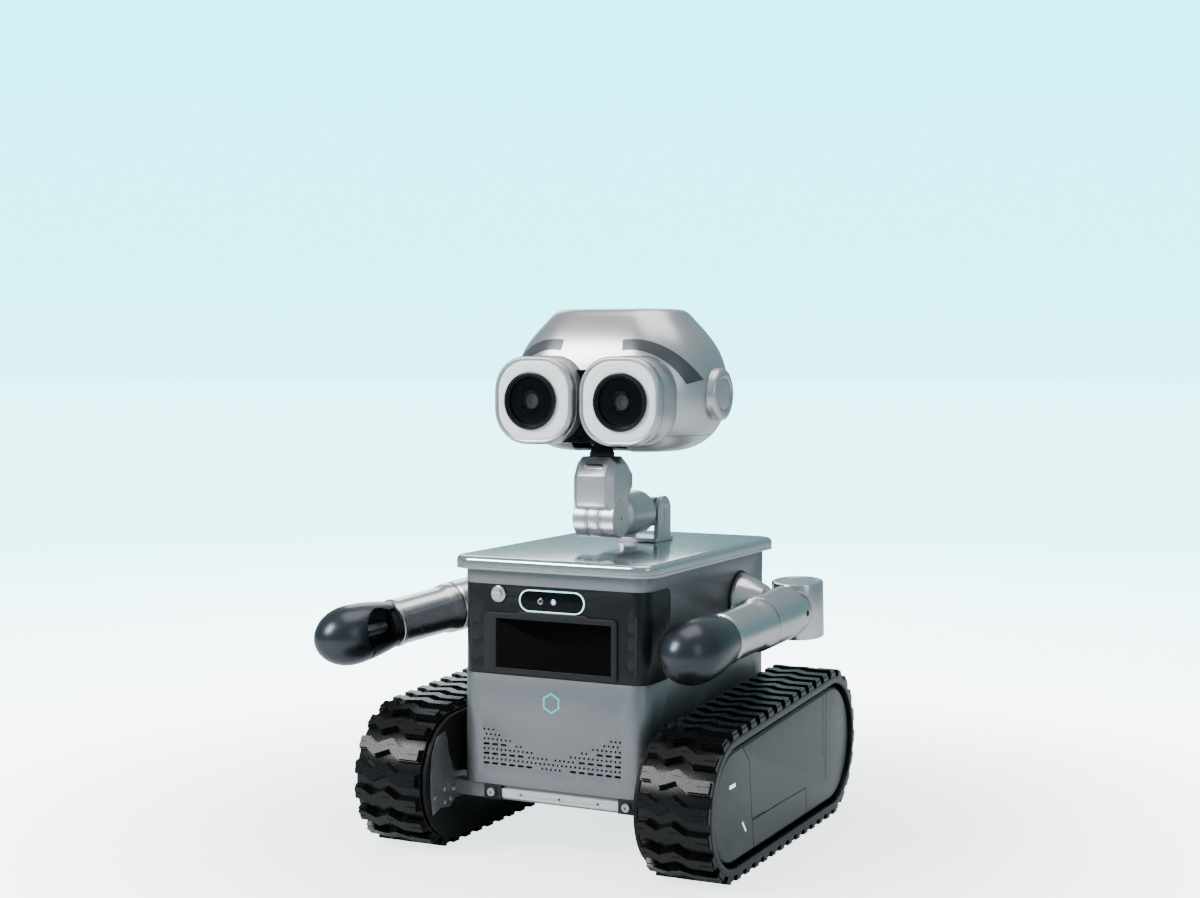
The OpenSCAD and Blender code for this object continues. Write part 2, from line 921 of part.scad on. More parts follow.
module nod_bracket()
    difference() {
        union() {
            x_rod(nod_ear_x, nod_ear_t, -swivel_y, nod_z, nod_ear_r);
            translate([nod_ear_x, -swivel_y - nod_ear_r, nod_z])
                cube([nod_ear_t, 2 * nod_ear_r, shelf_z + shelf_t - nod_z]);
            translate([nod_ear_x, -swivel_y - nod_ear_r, shelf_z])
                cube([shelf_x1 - nod_ear_x, 2 * nod_ear_r, shelf_t]);
            translate([shelf_x1 - shelf_t, -swivel_y - nod_ear_r, leg_z0])
                cube([shelf_t, 2 * nod_ear_r, shelf_z + shelf_t - leg_z0]);
        }
        x_rod(nod_ear_x - over, nod_ear_t + 2 * over, -swivel_y, nod_z, nod_r + play);
    }

module head_pan() color(silver) {
    difference() {
        dome_solid(0);
        dome_solid(shell_t);
        translate([-head_cut / 2, -head_cut / 2, pan_z])
            cube([head_cut, head_cut, head_cut]);
        pod_space();
        translate([0, -swivel_y, link_top])
            cylinder(h = pan_z - link_top + over, r = throat_r);
    }
    for (s = [-1, 1])
        on_side(s)
            nod_bracket();
}

panel_y0 = -116;
panel_t = 14;
panel_foot = 60;
panel_z0 = 542;
panel_z1 = 640;

module front_panel() color(black)
    difference() {
        upright(panel_y0, panel_t)
            polygon([[-panel_foot, panel_z0], [panel_foot, panel_z0], [panel_foot / 2, panel_z1],
                [-panel_foot / 2, panel_z1]]);
        pod_space();
        dome_solid(0);
    }

module eye_pods() color(white) {
    upright(-pod_front, pod_front - pod_back)
        difference() {
            pod_outline(0);
            pod_outline(pod_wall);
        }
    upright(-pod_front + face_back, face_t)
        difference() {
            pod_outline(pod_wall);
            for (s = [-1, 1])
                translate([s * eye_x, eye_z])
                    circle(lens_d / 2 - lens_lip);
        }
}

lens_proud = 4;
lens_depth = 12;
ring_w = 7;
glass_t = 2.5;

module lens_rings() color(black)
    for (s = [-1, 1])
        difference() {
            union() {
                y_rod(-pod_front - lens_proud, lens_proud + face_back, s * eye_x, eye_z, lens_d / 2);
                y_rod(-pod_front + face_back, lens_depth, s * eye_x, eye_z, lens_d / 2 - lens_lip);
            }
            y_rod(-pod_front - lens_proud - over, lens_proud + face_back + lens_depth + 2 * over,
                s * eye_x, eye_z, lens_d / 2 - ring_w);
        }

module lens_glasses() color([0.02, 0.02, 0.03, 0.6])
    for (s = [-1, 1])
        y_rod(-pod_front, glass_t, s * eye_x, eye_z, lens_d / 2 - ring_w);

camera_r = 12;
camera_len = 40;
camera_back = 6;
// Plate that holds the camera in the lens ring
plate_back = 14;
plate_t = 3;

module eye_cameras() color(gunmetal)
    for (s = [-1, 1]) {
        y_rod(-pod_front + camera_back, camera_len, s * eye_x, eye_z, camera_r);
        y_rod(-pod_front + plate_back, plate_t, s * eye_x, eye_z, lens_d / 2 - ring_w);
    }

// Inner end of the caps, the ends of their three steps, and the round groove in their faces
cap_x0 = 130;
cap_rim_x0 = 140;
cap_rim_x1 = 152;
cap_step_x1 = 154;
cap_face_x = 157;
cap_step = 3;
cap_edge = 8;
groove_r = 23;
groove_w = 2;

module ear_caps() color(silver)
    for (s = [-1, 1])
        on_side(s)
            difference() {
                union() {
                    x_rod(cap_x0, cap_step_x1 - cap_x0, ear_y, ear_z, ear_d / 2 - cap_step);
                    x_rod(cap_rim_x0, cap_rim_x1 - cap_rim_x0, ear_y, ear_z, ear_d / 2);
                    x_rod(cap_x0, cap_face_x - cap_x0, ear_y, ear_z, ear_d / 2 - cap_edge);
                }
                difference() {
                    x_rod(cap_step_x1, cap_face_x - cap_step_x1 + over, ear_y, ear_z, groove_r);
                    x_rod(cap_step_x1 - over, cap_face_x - cap_step_x1 + 3 * over, ear_y, ear_z,
                        groove_r - groove_w);
                }
                dome_solid(0);
            }

// ---------- arms ----------

function pitch_of(side) = side > 0 ? left_pitch : right_pitch;
function yaw_of(side) = side > 0 ? left_yaw : right_yaw;

// Frame of the shoulder: its origin on the shoulder's axis in the middle of the body, +X outwards
module shoulder_frame(side)
    on_side(side)
        translate([0, shoulder_y, shoulder_z])
            rotate([pitch_of(side), 0, 0])
                children();

// Frame of the forearm: its origin at the elbow, the hand towards -Y
module forearm_frame(side)
    shoulder_frame(side)
        translate([elbow_x, 0, 0])
            rotate([0, 0, yaw_of(side)])
                children();

cone_r = 44;
cone_rim_t = 4;
cone_end_r = 26;
cone_x0 = body_w / 2 + 1.5;
cone_x1 = 176;
neck_r = 17;
neck_t = 5;
strap_w = 26;
shaft_x0 = 102;
tongue_t = 15;
tongue_r = 29;
block_r = 36;
block_z0 = -41;
block_z1 = 37;
elbow_pin_r = 6;
// Distance of the elbow pin's ends inside the block
pin_cap = 10;

module shoulder_arm(side) color(silver)
    shoulder_frame(side)
        difference() {
            union() {
                x_rod(shaft_x0, cone_x0 - shaft_x0, 0, 0, shoulder_shaft_r);
                x_rod(cone_x0, cone_rim_t, 0, 0, cone_r);
                translate([cone_x0 + cone_rim_t, 0, 0])
                    rotate([0, 90, 0])
                        cylinder(h = cone_x1 - cone_x0 - cone_rim_t, r1 = cone_r, r2 = cone_end_r);
                x_rod(cone_x1, neck_t, 0, 0, neck_r);
                translate([cone_x1, -strap_w / 2, -tongue_t / 2])
                    cube([elbow_x - cone_x1, strap_w, tongue_t]);
                translate([elbow_x, 0, -tongue_t / 2])
                    cylinder(h = tongue_t, r = tongue_r);
            }
            translate([elbow_x, 0, -tongue_t])
                cylinder(h = 2 * tongue_t, r = elbow_pin_r);
        }

module elbow_pin(side) color(steel)
    shoulder_frame(side)
        translate([elbow_x, 0, block_z0 + pin_cap])
            cylinder(h = block_z1 - block_z0 - 2 * pin_cap, r = elbow_pin_r);

tube_y0 = 20;
seam_y = 125;
slot_half = tongue_t / 2 + gap;
// Hollow of the forearm, the wall at its end, and the wrist's shaft through it
hollow_y0 = 50;
hollow_r = 30;
seam_wall = 8;
wrist_shaft_r = 12;
// Openings of the block towards the shoulder: the tongue's slot, and the relief round its strap
slot_x0 = -60;
slot_w = 74;
slot_y0 = -22;
slot_d = 90;
relief_w = 28;
relief_d = 60;
relief_h = 36;

// Ring of material round the arm's axis: pairs of distance from the elbow and radius
module turned(profile)
    rotate([90, 0, 0])
        rotate_extrude()
            polygon([for (p = profile) [p[1], p[0]]]);

module forearm(side) color(silver)
    forearm_frame(side)
        difference() {
            union() {
                translate([0, 0, block_z0])
                    cylinder(h = block_z1 - block_z0, r = block_r);
                turned([[tube_y0 - 6, 0], [tube_y0 - 4, 20], [tube_y0, 29], [tube_y0 + 8, 34],
                    [tube_y0 + 18, tube_r], [seam_y, tube_r], [seam_y, 0]]);
            }
            translate([0, 0, -slot_half])
                cylinder(h = 2 * slot_half, r = tongue_r + gap);
            translate([slot_x0, slot_y0, -slot_half])
                cube([slot_w, slot_d, 2 * slot_half]);
            translate([slot_x0, slot_y0, -relief_h / 2])
                cube([relief_w, relief_d, relief_h]);
            translate([0, 0, block_z0 + pin_cap])
                cylinder(h = block_z1 - block_z0 - 2 * pin_cap, r = elbow_pin_r + play);
            turned([[hollow_y0, 0], [hollow_y0, hollow_r], [seam_y - seam_wall, hollow_r],
                [seam_y - seam_wall, 0]]);
            turned([[seam_y - seam_wall - over, 0], [seam_y - seam_wall - over, wrist_shaft_r + play],
                [seam_y + over, wrist_shaft_r + play], [seam_y + over, 0]]);
        }

wrist_r = 33;
cuff_y = 228;
hand_y0 = 236;
// Depth and height of the groove at the seam, the end of the rim beside it, and the cuff's ring
groove_d = 2.5;
groove_y1 = 3;
rim_y1 = 9;
taper_y1 = 24;
cuff_proud = 1.5;
bore_r = 26;
bore_len = 60;

module wrist_tube(side) color(silver)
    forearm_frame(side)
        turned([[seam_y - seam_wall + 1, 0], [seam_y - seam_wall + 1, wrist_shaft_r],
            [seam_y + 1, wrist_shaft_r], [seam_y + 1, tube_r - groove_d],
            [seam_y + groove_y1, tube_r - groove_d], [seam_y + groove_y1, tube_r],
            [seam_y + rim_y1, tube_r], [seam_y + taper_y1, wrist_r], [cuff_y - 2, wrist_r], [cuff_y - 2, wrist_r + cuff_proud],
            [cuff_y + 4, wrist_r + cuff_proud], [cuff_y + 4, wrist_r], [hand_y0 - 1, wrist_r],
            [hand_y0 - 1, bore_r], [cuff_y - bore_len, bore_r], [cuff_y - bore_len, 0]]);

egg_peak = 304;

// Radius of the egg-shaped hand at a distance y from the elbow
function egg_r(y, inset) =
    let (back = egg_peak - hand_y0, front = hand_tip - inset - egg_peak)
    y < egg_peak ? wrist_r - 1 + (hand_r - wrist_r + 1) * sin(90 * (y - hand_y0) / back) - inset :
    (hand_r - inset) * sqrt(max(0, 1 - pow((y - egg_peak) / front, 2)));

egg_steps = 12;
rise_steps = 6;
// Distance of the hand's hollow from its rear face
egg_floor = 4;

module egg(inset) {
    front = hand_tip - inset - egg_peak;
    rear = hand_y0 + (inset > 0 ? egg_floor : 0);
    turned(concat([[rear, 0]],
        [for (i = [0:rise_steps - 1]) let (y = rear + i * (egg_peak - hand_y0 - egg_floor) / rise_steps)
            [y, egg_r(y, inset)]],
        [for (i = [0:egg_steps - 1]) let (y = egg_peak + front * sin(90 * i / egg_steps))
            [y, egg_r(y, inset)]],
        [[hand_tip - inset, 0]]));
}

// The thumb's hinge across the bottom of the hand, at its rear
hinge_y = -244;
hinge_z = -31.5;
hinge_x0 = -12;
hinge_r = 2;
hinge_len = 16;
barrel_r = 3.4;
barrel_len = 8;
hand_t = 3;
thumb_t = 5;
thumb_gap = 2;
// Mouth on the inner side of the hand: its front, its side nearest the middle, and its heights
mouth_y1 = -284;
mouth_x0 = -60;
mouth_w = 56;
mouth_z0 = -12;
mouth_z1 = 32;
// Rear and front ends of the thumb, and the height of its upper edge
thumb_y0 = 242;
thumb_y1 = -290;
thumb_z1 = -14;
thumb_h = 46;

module mouth() {
    rounding = (mouth_z1 - mouth_z0) / 2;
    translate([mouth_x0, mouth_y1, mouth_z0])
        cube([mouth_w, -mouth_y1 - hand_y0 - egg_floor, mouth_z1 - mouth_z0]);
    translate([mouth_x0, mouth_y1, mouth_z0 + rounding])
        rotate([0, 90, 0])
            cylinder(h = mouth_w, r = rounding);
}

// The thumb's part of the egg, below the mouth
module thumb_space(clear)
    translate([mouth_x0, thumb_y1 - clear, thumb_z1 - thumb_h])
        cube([mouth_w + clear, -thumb_y1 - thumb_y0 + 2 * clear, thumb_h + clear]);

module hand_shell(side) color(gunmetal)
    forearm_frame(side) {
        difference() {
            egg(0);
            egg(hand_t);
            mouth();
            thumb_space(thumb_gap);
        }
        x_rod(hinge_x0 + 1, hinge_len, hinge_y, hinge_z, hinge_r);
    }

module thumb(side) color(gunmetal)
    forearm_frame(side)
        difference() {
            union() {
                difference() {
                    intersection() {
                        egg(0);
                        thumb_space(0);
                    }
                    egg(thumb_t);
                }
                x_rod(hinge_x0, barrel_len, hinge_y, hinge_z, barrel_r);
            }
            x_rod(hinge_x0 - over, barrel_len + 2 * over, hinge_y, hinge_z, hinge_r + play);
        }

body_shell();
base_plate();
front_rail();
rail_brackets();
chassis_bolts();
cross_beams();
lid();
fascia();
screen_surround();
display_panel();
sensor_window();
button_bezel();
power_button();
speakers();
battery_pack();
control_board();
drive_motors();
shoulder_motors();
track_axles();
belt(1);  // left_belt
track_frame(1);  // left_track_frame
sprocket(1);  // left_sprocket
idler(1);  // left_idler
road_wheel(1, 0);  // left_road_wheel_front
road_wheel(1, 1);  // left_road_wheel_rear
side_cover(1);  // left_side_cover
belt(-1);  // right_belt
track_frame(-1);  // right_track_frame
sprocket(-1);  // right_sprocket
idler(-1);  // right_idler
road_wheel(-1, 0);  // right_road_wheel_front
road_wheel(-1, 1);  // right_road_wheel_rear
side_cover(-1);  // right_side_cover
neck_clevis();
neck_base_pin();
neck_drum();
neck_knuckle();
neck_upper_pin();
neck_link();
neck_swivel();
head_dome();
head_pan();
front_panel();
eye_pods();
lens_rings();
lens_glasses();
eye_cameras();
ear_caps();
shoulder_arm(1);  // left_shoulder_arm
elbow_pin(1);  // left_elbow_pin
forearm(1);  // left_forearm
wrist_tube(1);  // left_wrist_tube
hand_shell(1);  // left_hand_shell
thumb(1);  // left_thumb
shoulder_arm(-1);  // right_shoulder_arm
elbow_pin(-1);  // right_elbow_pin
forearm(-1);  // right_forearm
wrist_tube(-1);  // right_wrist_tube
hand_shell(-1);  // right_hand_shell
thumb(-1);  // right_thumb
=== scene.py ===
"""A tracked educational robot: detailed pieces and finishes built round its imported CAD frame."""

import json
import logging
import math
import random
from dataclasses import dataclass
from enum import Enum
from typing import Callable, Sequence

import bpy
from mathutils import Euler, Matrix, Vector


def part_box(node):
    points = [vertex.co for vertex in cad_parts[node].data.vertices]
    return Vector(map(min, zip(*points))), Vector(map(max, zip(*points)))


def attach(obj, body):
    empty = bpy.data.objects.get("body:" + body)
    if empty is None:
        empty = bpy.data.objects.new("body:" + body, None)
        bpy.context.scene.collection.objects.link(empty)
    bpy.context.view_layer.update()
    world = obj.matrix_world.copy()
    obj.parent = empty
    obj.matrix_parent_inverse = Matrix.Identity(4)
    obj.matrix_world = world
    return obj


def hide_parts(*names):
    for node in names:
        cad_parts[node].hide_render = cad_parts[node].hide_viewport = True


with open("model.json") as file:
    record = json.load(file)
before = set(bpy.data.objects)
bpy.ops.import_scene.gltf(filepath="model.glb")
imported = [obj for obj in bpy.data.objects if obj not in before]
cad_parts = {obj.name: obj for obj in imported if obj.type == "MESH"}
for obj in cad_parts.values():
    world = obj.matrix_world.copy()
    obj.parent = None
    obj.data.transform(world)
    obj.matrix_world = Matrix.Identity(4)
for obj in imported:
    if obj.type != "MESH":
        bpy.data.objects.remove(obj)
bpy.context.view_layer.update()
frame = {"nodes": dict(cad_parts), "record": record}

LOG = logging.getLogger("robot")
MM = 0.001
WELD = 1e-6
Piece = bpy.types.Object
X, Y, Z = Vector((1, 0, 0)), Vector((0, 1, 0)), Vector((0, 0, 1))


# ---------------------------------------------------------------- small helpers


class Side(Enum):
    """The robot's own left and right, with the sign of X there."""

    LEFT = 1
    RIGHT = -1

    @property
    def word(self) -> str:
        """The side's name as the nodes spell it."""
        return self.name.lower()


def joint(name: str) -> dict:
    """The record's joint of that name."""
    return next(j for j in frame["record"]["behaviour"]["joints"] if j["name"] == name)


def middle(node: str) -> Vector:
    """Centre of a CAD node's box."""
    low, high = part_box(node)
    return (Vector(low) + Vector(high)) / 2


def span(node: str) -> Vector:
    """Size of a CAD node's box."""
    low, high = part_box(node)
    return Vector(high) - Vector(low)


def corners(node: str) -> tuple[Vector, Vector]:
    """Lowest and highest corner of a CAD node's box."""
    low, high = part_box(node)
    return Vector(low), Vector(high)


def front_centre(node: str) -> Vector:
    """Middle of the front face of a CAD node's box."""
    low, high = corners(node)
    return Vector(((low.x + high.x) / 2, low.y, (low.z + high.z) / 2))


def path(*steps: tuple[float, float], along: float = 0.0, around: float = 0.0) -> list[tuple[float, float]]:
    """Part of a profile, given in millimetres.

    Args:
        *steps: Pairs of distance and radius.
        along: The distance from which the distances count, in metres.
        around: The radius from which the radii count, in metres.

    Returns:
        Pairs of distance and radius in metres.
    """
    return [(along + distance * MM, around + radius * MM) for distance, radius in steps]


class Bench:
    """The modelling bench: each method works on one mesh with Blender's operators."""

    @staticmethod
    def clear() -> None:
        """Leaves edit mode and deselects every object."""
        if bpy.context.mode != "OBJECT":
            bpy.ops.object.mode_set(mode="OBJECT")
        bpy.ops.object.select_all(action="DESELECT")

    @staticmethod
    def close() -> None:
        """Leaves edit mode."""
        bpy.ops.object.mode_set(mode="OBJECT")

    @staticmethod
    def freeze() -> None:
        """Leaves edit mode and puts the piece's place, turn and scale into its mesh."""
        Bench.close()
        bpy.ops.object.transform_apply(location=True, rotation=True, scale=True)

    @staticmethod
    def all() -> None:
        """Selects the whole mesh that is open in edit mode."""
        bpy.ops.mesh.select_all(action="SELECT")

    @staticmethod
    def face_out() -> None:
        """Points every face of the open mesh outwards."""
        Bench.all()
        bpy.ops.mesh.normals_make_consistent(inside=False)

    @staticmethod
    def fill() -> None:
        """Fills the selected loop with one face."""
        bpy.ops.mesh.edge_face_add()

    @staticmethod
    def focus(piece: Piece) -> None:
        """Makes one piece the only selected and the active object."""
        Bench.clear()
        piece.select_set(True)
        bpy.context.view_layer.objects.active = piece

    @staticmethod
    def edit(piece: Piece, mode: str = "FACE") -> None:
        """Opens a piece in edit mode with nothing selected."""
        Bench.focus(piece)
        bpy.ops.object.mode_set(mode="EDIT")
        bpy.ops.mesh.select_mode(type=mode)
        bpy.ops.mesh.select_all(action="DESELECT")

    @staticmethod
    def pick_faces(piece: Piece, test: Callable[[Vector, Vector], bool]) -> None:
        """Selects the faces whose centre and normal pass a test, and stays in edit mode.

        Args:
            piece: The mesh to select on.
            test: Takes a face's centre and normal, and says whether it is wanted.
        """
        Bench.edit(piece)
        Bench.close()
        for face in piece.data.polygons:
            face.select = test(piece.matrix_world @ face.center, face.normal)
        bpy.ops.object.mode_set(mode="EDIT")

    @staticmethod
    def settle(piece: Piece, name: str, angle: float = 35.0) -> Piece:
        """Puts a piece's place into its mesh, points its faces outwards and shades it.

        Args:
            piece: The mesh to finish.
            name: The piece's final name.
            angle: Edges sharper than this, in degrees, stay sharp.

        Returns:
            The same piece.
        """
        Bench.edit(piece)
        Bench.all()
        bpy.ops.mesh.remove_doubles(threshold=WELD)
        bpy.ops.mesh.normals_make_consistent(inside=False)
        Bench.freeze()
        bpy.ops.object.shade_smooth_by_angle(angle=math.radians(angle))
        piece.name = name
        piece.data.name = name
        return piece

    @staticmethod
    def apply(piece: Piece, kind: str, **settings: object) -> None:
        """Adds one modifier with its settings and applies it.

        Args:
            piece: The mesh that gets the modifier.
            kind: The modifier's type, such as BEVEL.
            **settings: The modifier's properties.
        """
        Bench.focus(piece)
        step = piece.modifiers.new(kind.lower(), kind)
        for key, value in settings.items():
            setattr(step, key, value)
        bpy.ops.object.modifier_apply(modifier=step.name)

    @staticmethod
    def bevel(piece: Piece, width: float, segments: int = 2, angle: float = 40.0) -> None:
        """Rounds every edge sharper than an angle."""
        Bench.apply(piece, "BEVEL", width=width, segments=segments, limit_method="ANGLE",
                    angle_limit=math.radians(angle), use_clamp_overlap=True, harden_normals=False)

    @staticmethod
    def cut(piece: Piece, tool: Piece, operation: str = "DIFFERENCE") -> None:
        """Cuts a piece with a tool and throws the tool away."""
        Bench.apply(piece, "BOOLEAN", object=tool, operation=operation, solver="EXACT")
        mesh = tool.data
        bpy.data.objects.remove(tool)
        bpy.data.meshes.remove(mesh)

    @staticmethod
    def copy(piece: Piece, name: str) -> Piece:
        """A copy of a piece with its own mesh."""
        twin = bpy.data.objects.new(name, piece.data.copy())
        bpy.context.collection.objects.link(twin)
        return twin

    @staticmethod
    def join(pieces: Sequence[Piece]) -> Piece:
        """Joins pieces into the first one."""
        Bench.focus(pieces[0])
        for piece in pieces:
            piece.select_set(True)
        bpy.ops.object.join()
        return pieces[0]

    @staticmethod
    def box(centre: Sequence[float], size: Sequence[float],
            turn: Sequence[float] = (0, 0, 0)) -> Piece:
        """A box of a given size at a given place, turned by three angles."""
        Bench.clear()
        bpy.ops.mesh.primitive_cube_add(size=1, location=centre, rotation=turn, scale=size)
        piece = bpy.context.object
        Bench.freeze()
        return piece

    @staticmethod
    def chain(points: Sequence[Vector]) -> Piece:
        """A line of edges drawn point by point, left open in edit mode and selected."""
        Bench.clear()
        bpy.ops.mesh.primitive_plane_add(size=MM, location=points[0])
        piece = bpy.context.object
        bpy.ops.object.mode_set(mode="EDIT")
        bpy.ops.mesh.select_mode(type="VERT")
        bpy.ops.mesh.merge(type="CENTER")
        for start, end in zip(points, points[1:]):
            Bench.pull(end - start)
        Bench.all()
        return piece

    @staticmethod
    def turn(profile: Sequence[tuple[float, float]], centre: Vector, axis: Vector,
             steps: int = 64) -> Piece:
        """Spins a profile round an axis into a closed body.

        Args:
            profile: Pairs of distance along the axis and radius, from pole to pole or as a ring.
            centre: The point on the axis from which the distances count.
            axis: Direction of the axis.
            steps: Number of faces round the axis.

        Returns:
            The new piece.
        """
        axis = Vector(axis).normalized()
        across = axis.orthogonal().normalized()
        points = [centre + axis * along + across * radius for along, radius in profile]
        piece = Bench.chain(points)
        bpy.ops.mesh.spin(steps=steps, angle=2 * math.pi, center=centre, axis=axis)
        Bench.all()
        bpy.ops.mesh.remove_doubles(threshold=WELD)
        bpy.ops.mesh.normals_make_consistent(inside=False)
        Bench.freeze()
        return piece

    @staticmethod
    def plate(centre: Vector, width: float, height: float, corner: float, segments: int = 8,
              facing: Vector = -Y) -> Piece:
        """A flat face with round corners, ready to be extruded.

        Args:
            centre: Middle of the face.
            width: Size along X, or along Y where it faces X.
            height: Size along Z, or along Y where it faces Z.
            corner: Radius of its corners.
            segments: Steps round each corner.
            facing: The face's normal, one of the axes.

        Returns:
            The new piece, with its face selected and edit mode open.
        """
        Bench.clear()
        turns = {1: (math.pi / 2, 0, 0), 0: (math.pi / 2, 0, math.pi / 2), 2: (0, 0, 0)}
        way = max(range(3), key=lambda i: abs(facing[i]))
        bpy.ops.mesh.primitive_plane_add(size=1, location=centre, rotation=turns[way])
        piece = bpy.context.object
        bpy.ops.object.mode_set(mode="EDIT")
        scale = {1: (width, 1, height), 0: (1, width, height), 2: (width, height, 1)}[way]
        bpy.ops.transform.resize(value=scale, center_override=centre)
        if corner > 0:
            bpy.ops.mesh.bevel(offset=corner, segments=segments, affect="VERTICES")
        bpy.ops.mesh.select_mode(type="FACE")
        Bench.all()
        return piece

    @staticmethod
    def outline(points: Sequence[tuple[float, float]], x: float, width: float) -> Piece:
        """A closed outline of Y and Z in millimetres, given a width along X.

        Args:
            points: The outline's corners.
            x: Place of its first face.
            width: Its thickness towards +X.

        Returns:
            The new piece.
        """
        piece = Bench.prism([Vector((x, y * MM, z * MM)) for y, z in points], X * width)
        Bench.turn_out(piece)
        return piece

    @staticmethod
    def prism(points: Sequence[Vector], way: Vector) -> Piece:
        """A closed loop of points, filled and given a thickness."""
        piece = Bench.loop(points)
        Bench.fill()
        Bench.pull(way)
        Bench.freeze()
        return piece

    @staticmethod
    def turn_out(piece: Piece) -> None:
        """Points every face of a piece outwards."""
        Bench.edit(piece)
        Bench.face_out()
        Bench.close()

    @staticmethod
    def loop(points: Sequence[Vector]) -> Piece:
        """A closed loop of edges drawn point by point, left open in edit mode and selected."""
        piece = Bench.chain([*points, points[0]])
        bpy.ops.mesh.remove_doubles(threshold=10 * WELD)
        Bench.all()
        return piece

    @staticmethod
    def pull(way: Vector, scale: tuple[float, float, float] = (1, 1, 1), about: Vector = Vector()) -> None:
        """Extrudes the selected face and then scales it about a point."""
        bpy.ops.mesh.extrude_region_move(TRANSFORM_OT_translate={"value": way})
        if tuple(scale) != (1, 1, 1):
            bpy.ops.transform.resize(value=scale, center_override=about)

    @staticmethod
    def slab(centre: Vector, width: float, height: float, corner: float, depth: float,
             facing: Vector = -Y, edge: float = 0.0, segments: int = 8) -> Piece:
        """A plate with a thickness behind its face, and rounded front and back edges.

        Args:
            centre: Middle of the front face.
            width: Size along X, or along Y where it faces X.
            height: Size along Z, or along Y where it faces Z.
            corner: Radius of its corners.
            depth: Thickness behind the face.
            facing: The way the front looks.
            edge: Radius of the edges of both faces.
            segments: Steps round each corner.

        Returns:
            The new piece.
        """
        piece = Bench.plate(centre, width, height, corner, segments, facing)
        Bench.pull(-facing * depth)
        Bench.freeze()
        Bench.turn_out(piece)
        if edge > 0:
            Bench.bevel(piece, edge, 3)
        return piece

    @staticmethod
    def from_node(node: str, width: float, segments: int = 2, angle: float = 40.0) -> Piece:
        """A CAD node's copy, its triangles merged into flat faces and its hard edges rounded.

        Args:
            node: The CAD node to copy.
            width: Radius of the rounded edges.
            segments: Steps round each edge.
            angle: Edges sharper than this, in degrees, are rounded.

        Returns:
            The new piece.
        """
        piece = Bench.copy(frame["nodes"][node], node + "_detail")
        piece.data.materials.clear()
        Bench.edit(piece)
        Bench.all()
        bpy.ops.mesh.customdata_custom_splitnormals_clear()
        bpy.ops.mesh.remove_doubles(threshold=2 * WELD)
        bpy.ops.mesh.dissolve_limited(angle_limit=math.radians(0.6))
        Bench.close()
        Bench.bevel(piece, width, segments, angle)
        return piece


# ---------------------------------------------------------------- finishes


@dataclass
class Web:
    """A node tree with a short way to add and wire nodes.

    Attributes:
        tree: The node tree.
    """

    tree: bpy.types.NodeTree

    def add(self, kind: str, inputs: dict | None = None, **settings: object) -> bpy.types.Node:
        """Adds one node.

        Args:
            kind: The node's type without its first word, such as Math.
            inputs: For each input, either its value or the output that feeds it.
            **settings: The node's properties.

        Returns:
            The new node.
        """
        node = self.tree.nodes.new("ShaderNode" + kind)
        for key, value in settings.items():
            setattr(node, key, value)
        self.feed(node, inputs or {})
        return node

    def feed(self, node: bpy.types.Node, inputs: dict) -> None:
        """Sets a node's inputs to values, or links them to outputs."""
        for key, value in inputs.items():
            if isinstance(value, bpy.types.NodeSocket):
                self.tree.links.new(value, node.inputs[key])
            else:
                node.inputs[key].default_value = value

    def ramp(self, tones: Sequence[tuple[float, tuple]], share: bpy.types.NodeSocket) -> bpy.types.NodeSocket:
        """The colour output of a ramp with the given positions and colours."""
        node = self.add("ValToRGB", {0: share})
        ends = node.color_ramp.elements
        for element, (spot, tone) in zip(ends, (tones[0], tones[-1])):
            element.position, element.color = spot, (*tone, 1)
        for spot, tone in tones[1:-1]:
            ends.new(spot).color = (*tone, 1)
        return node.outputs[0]


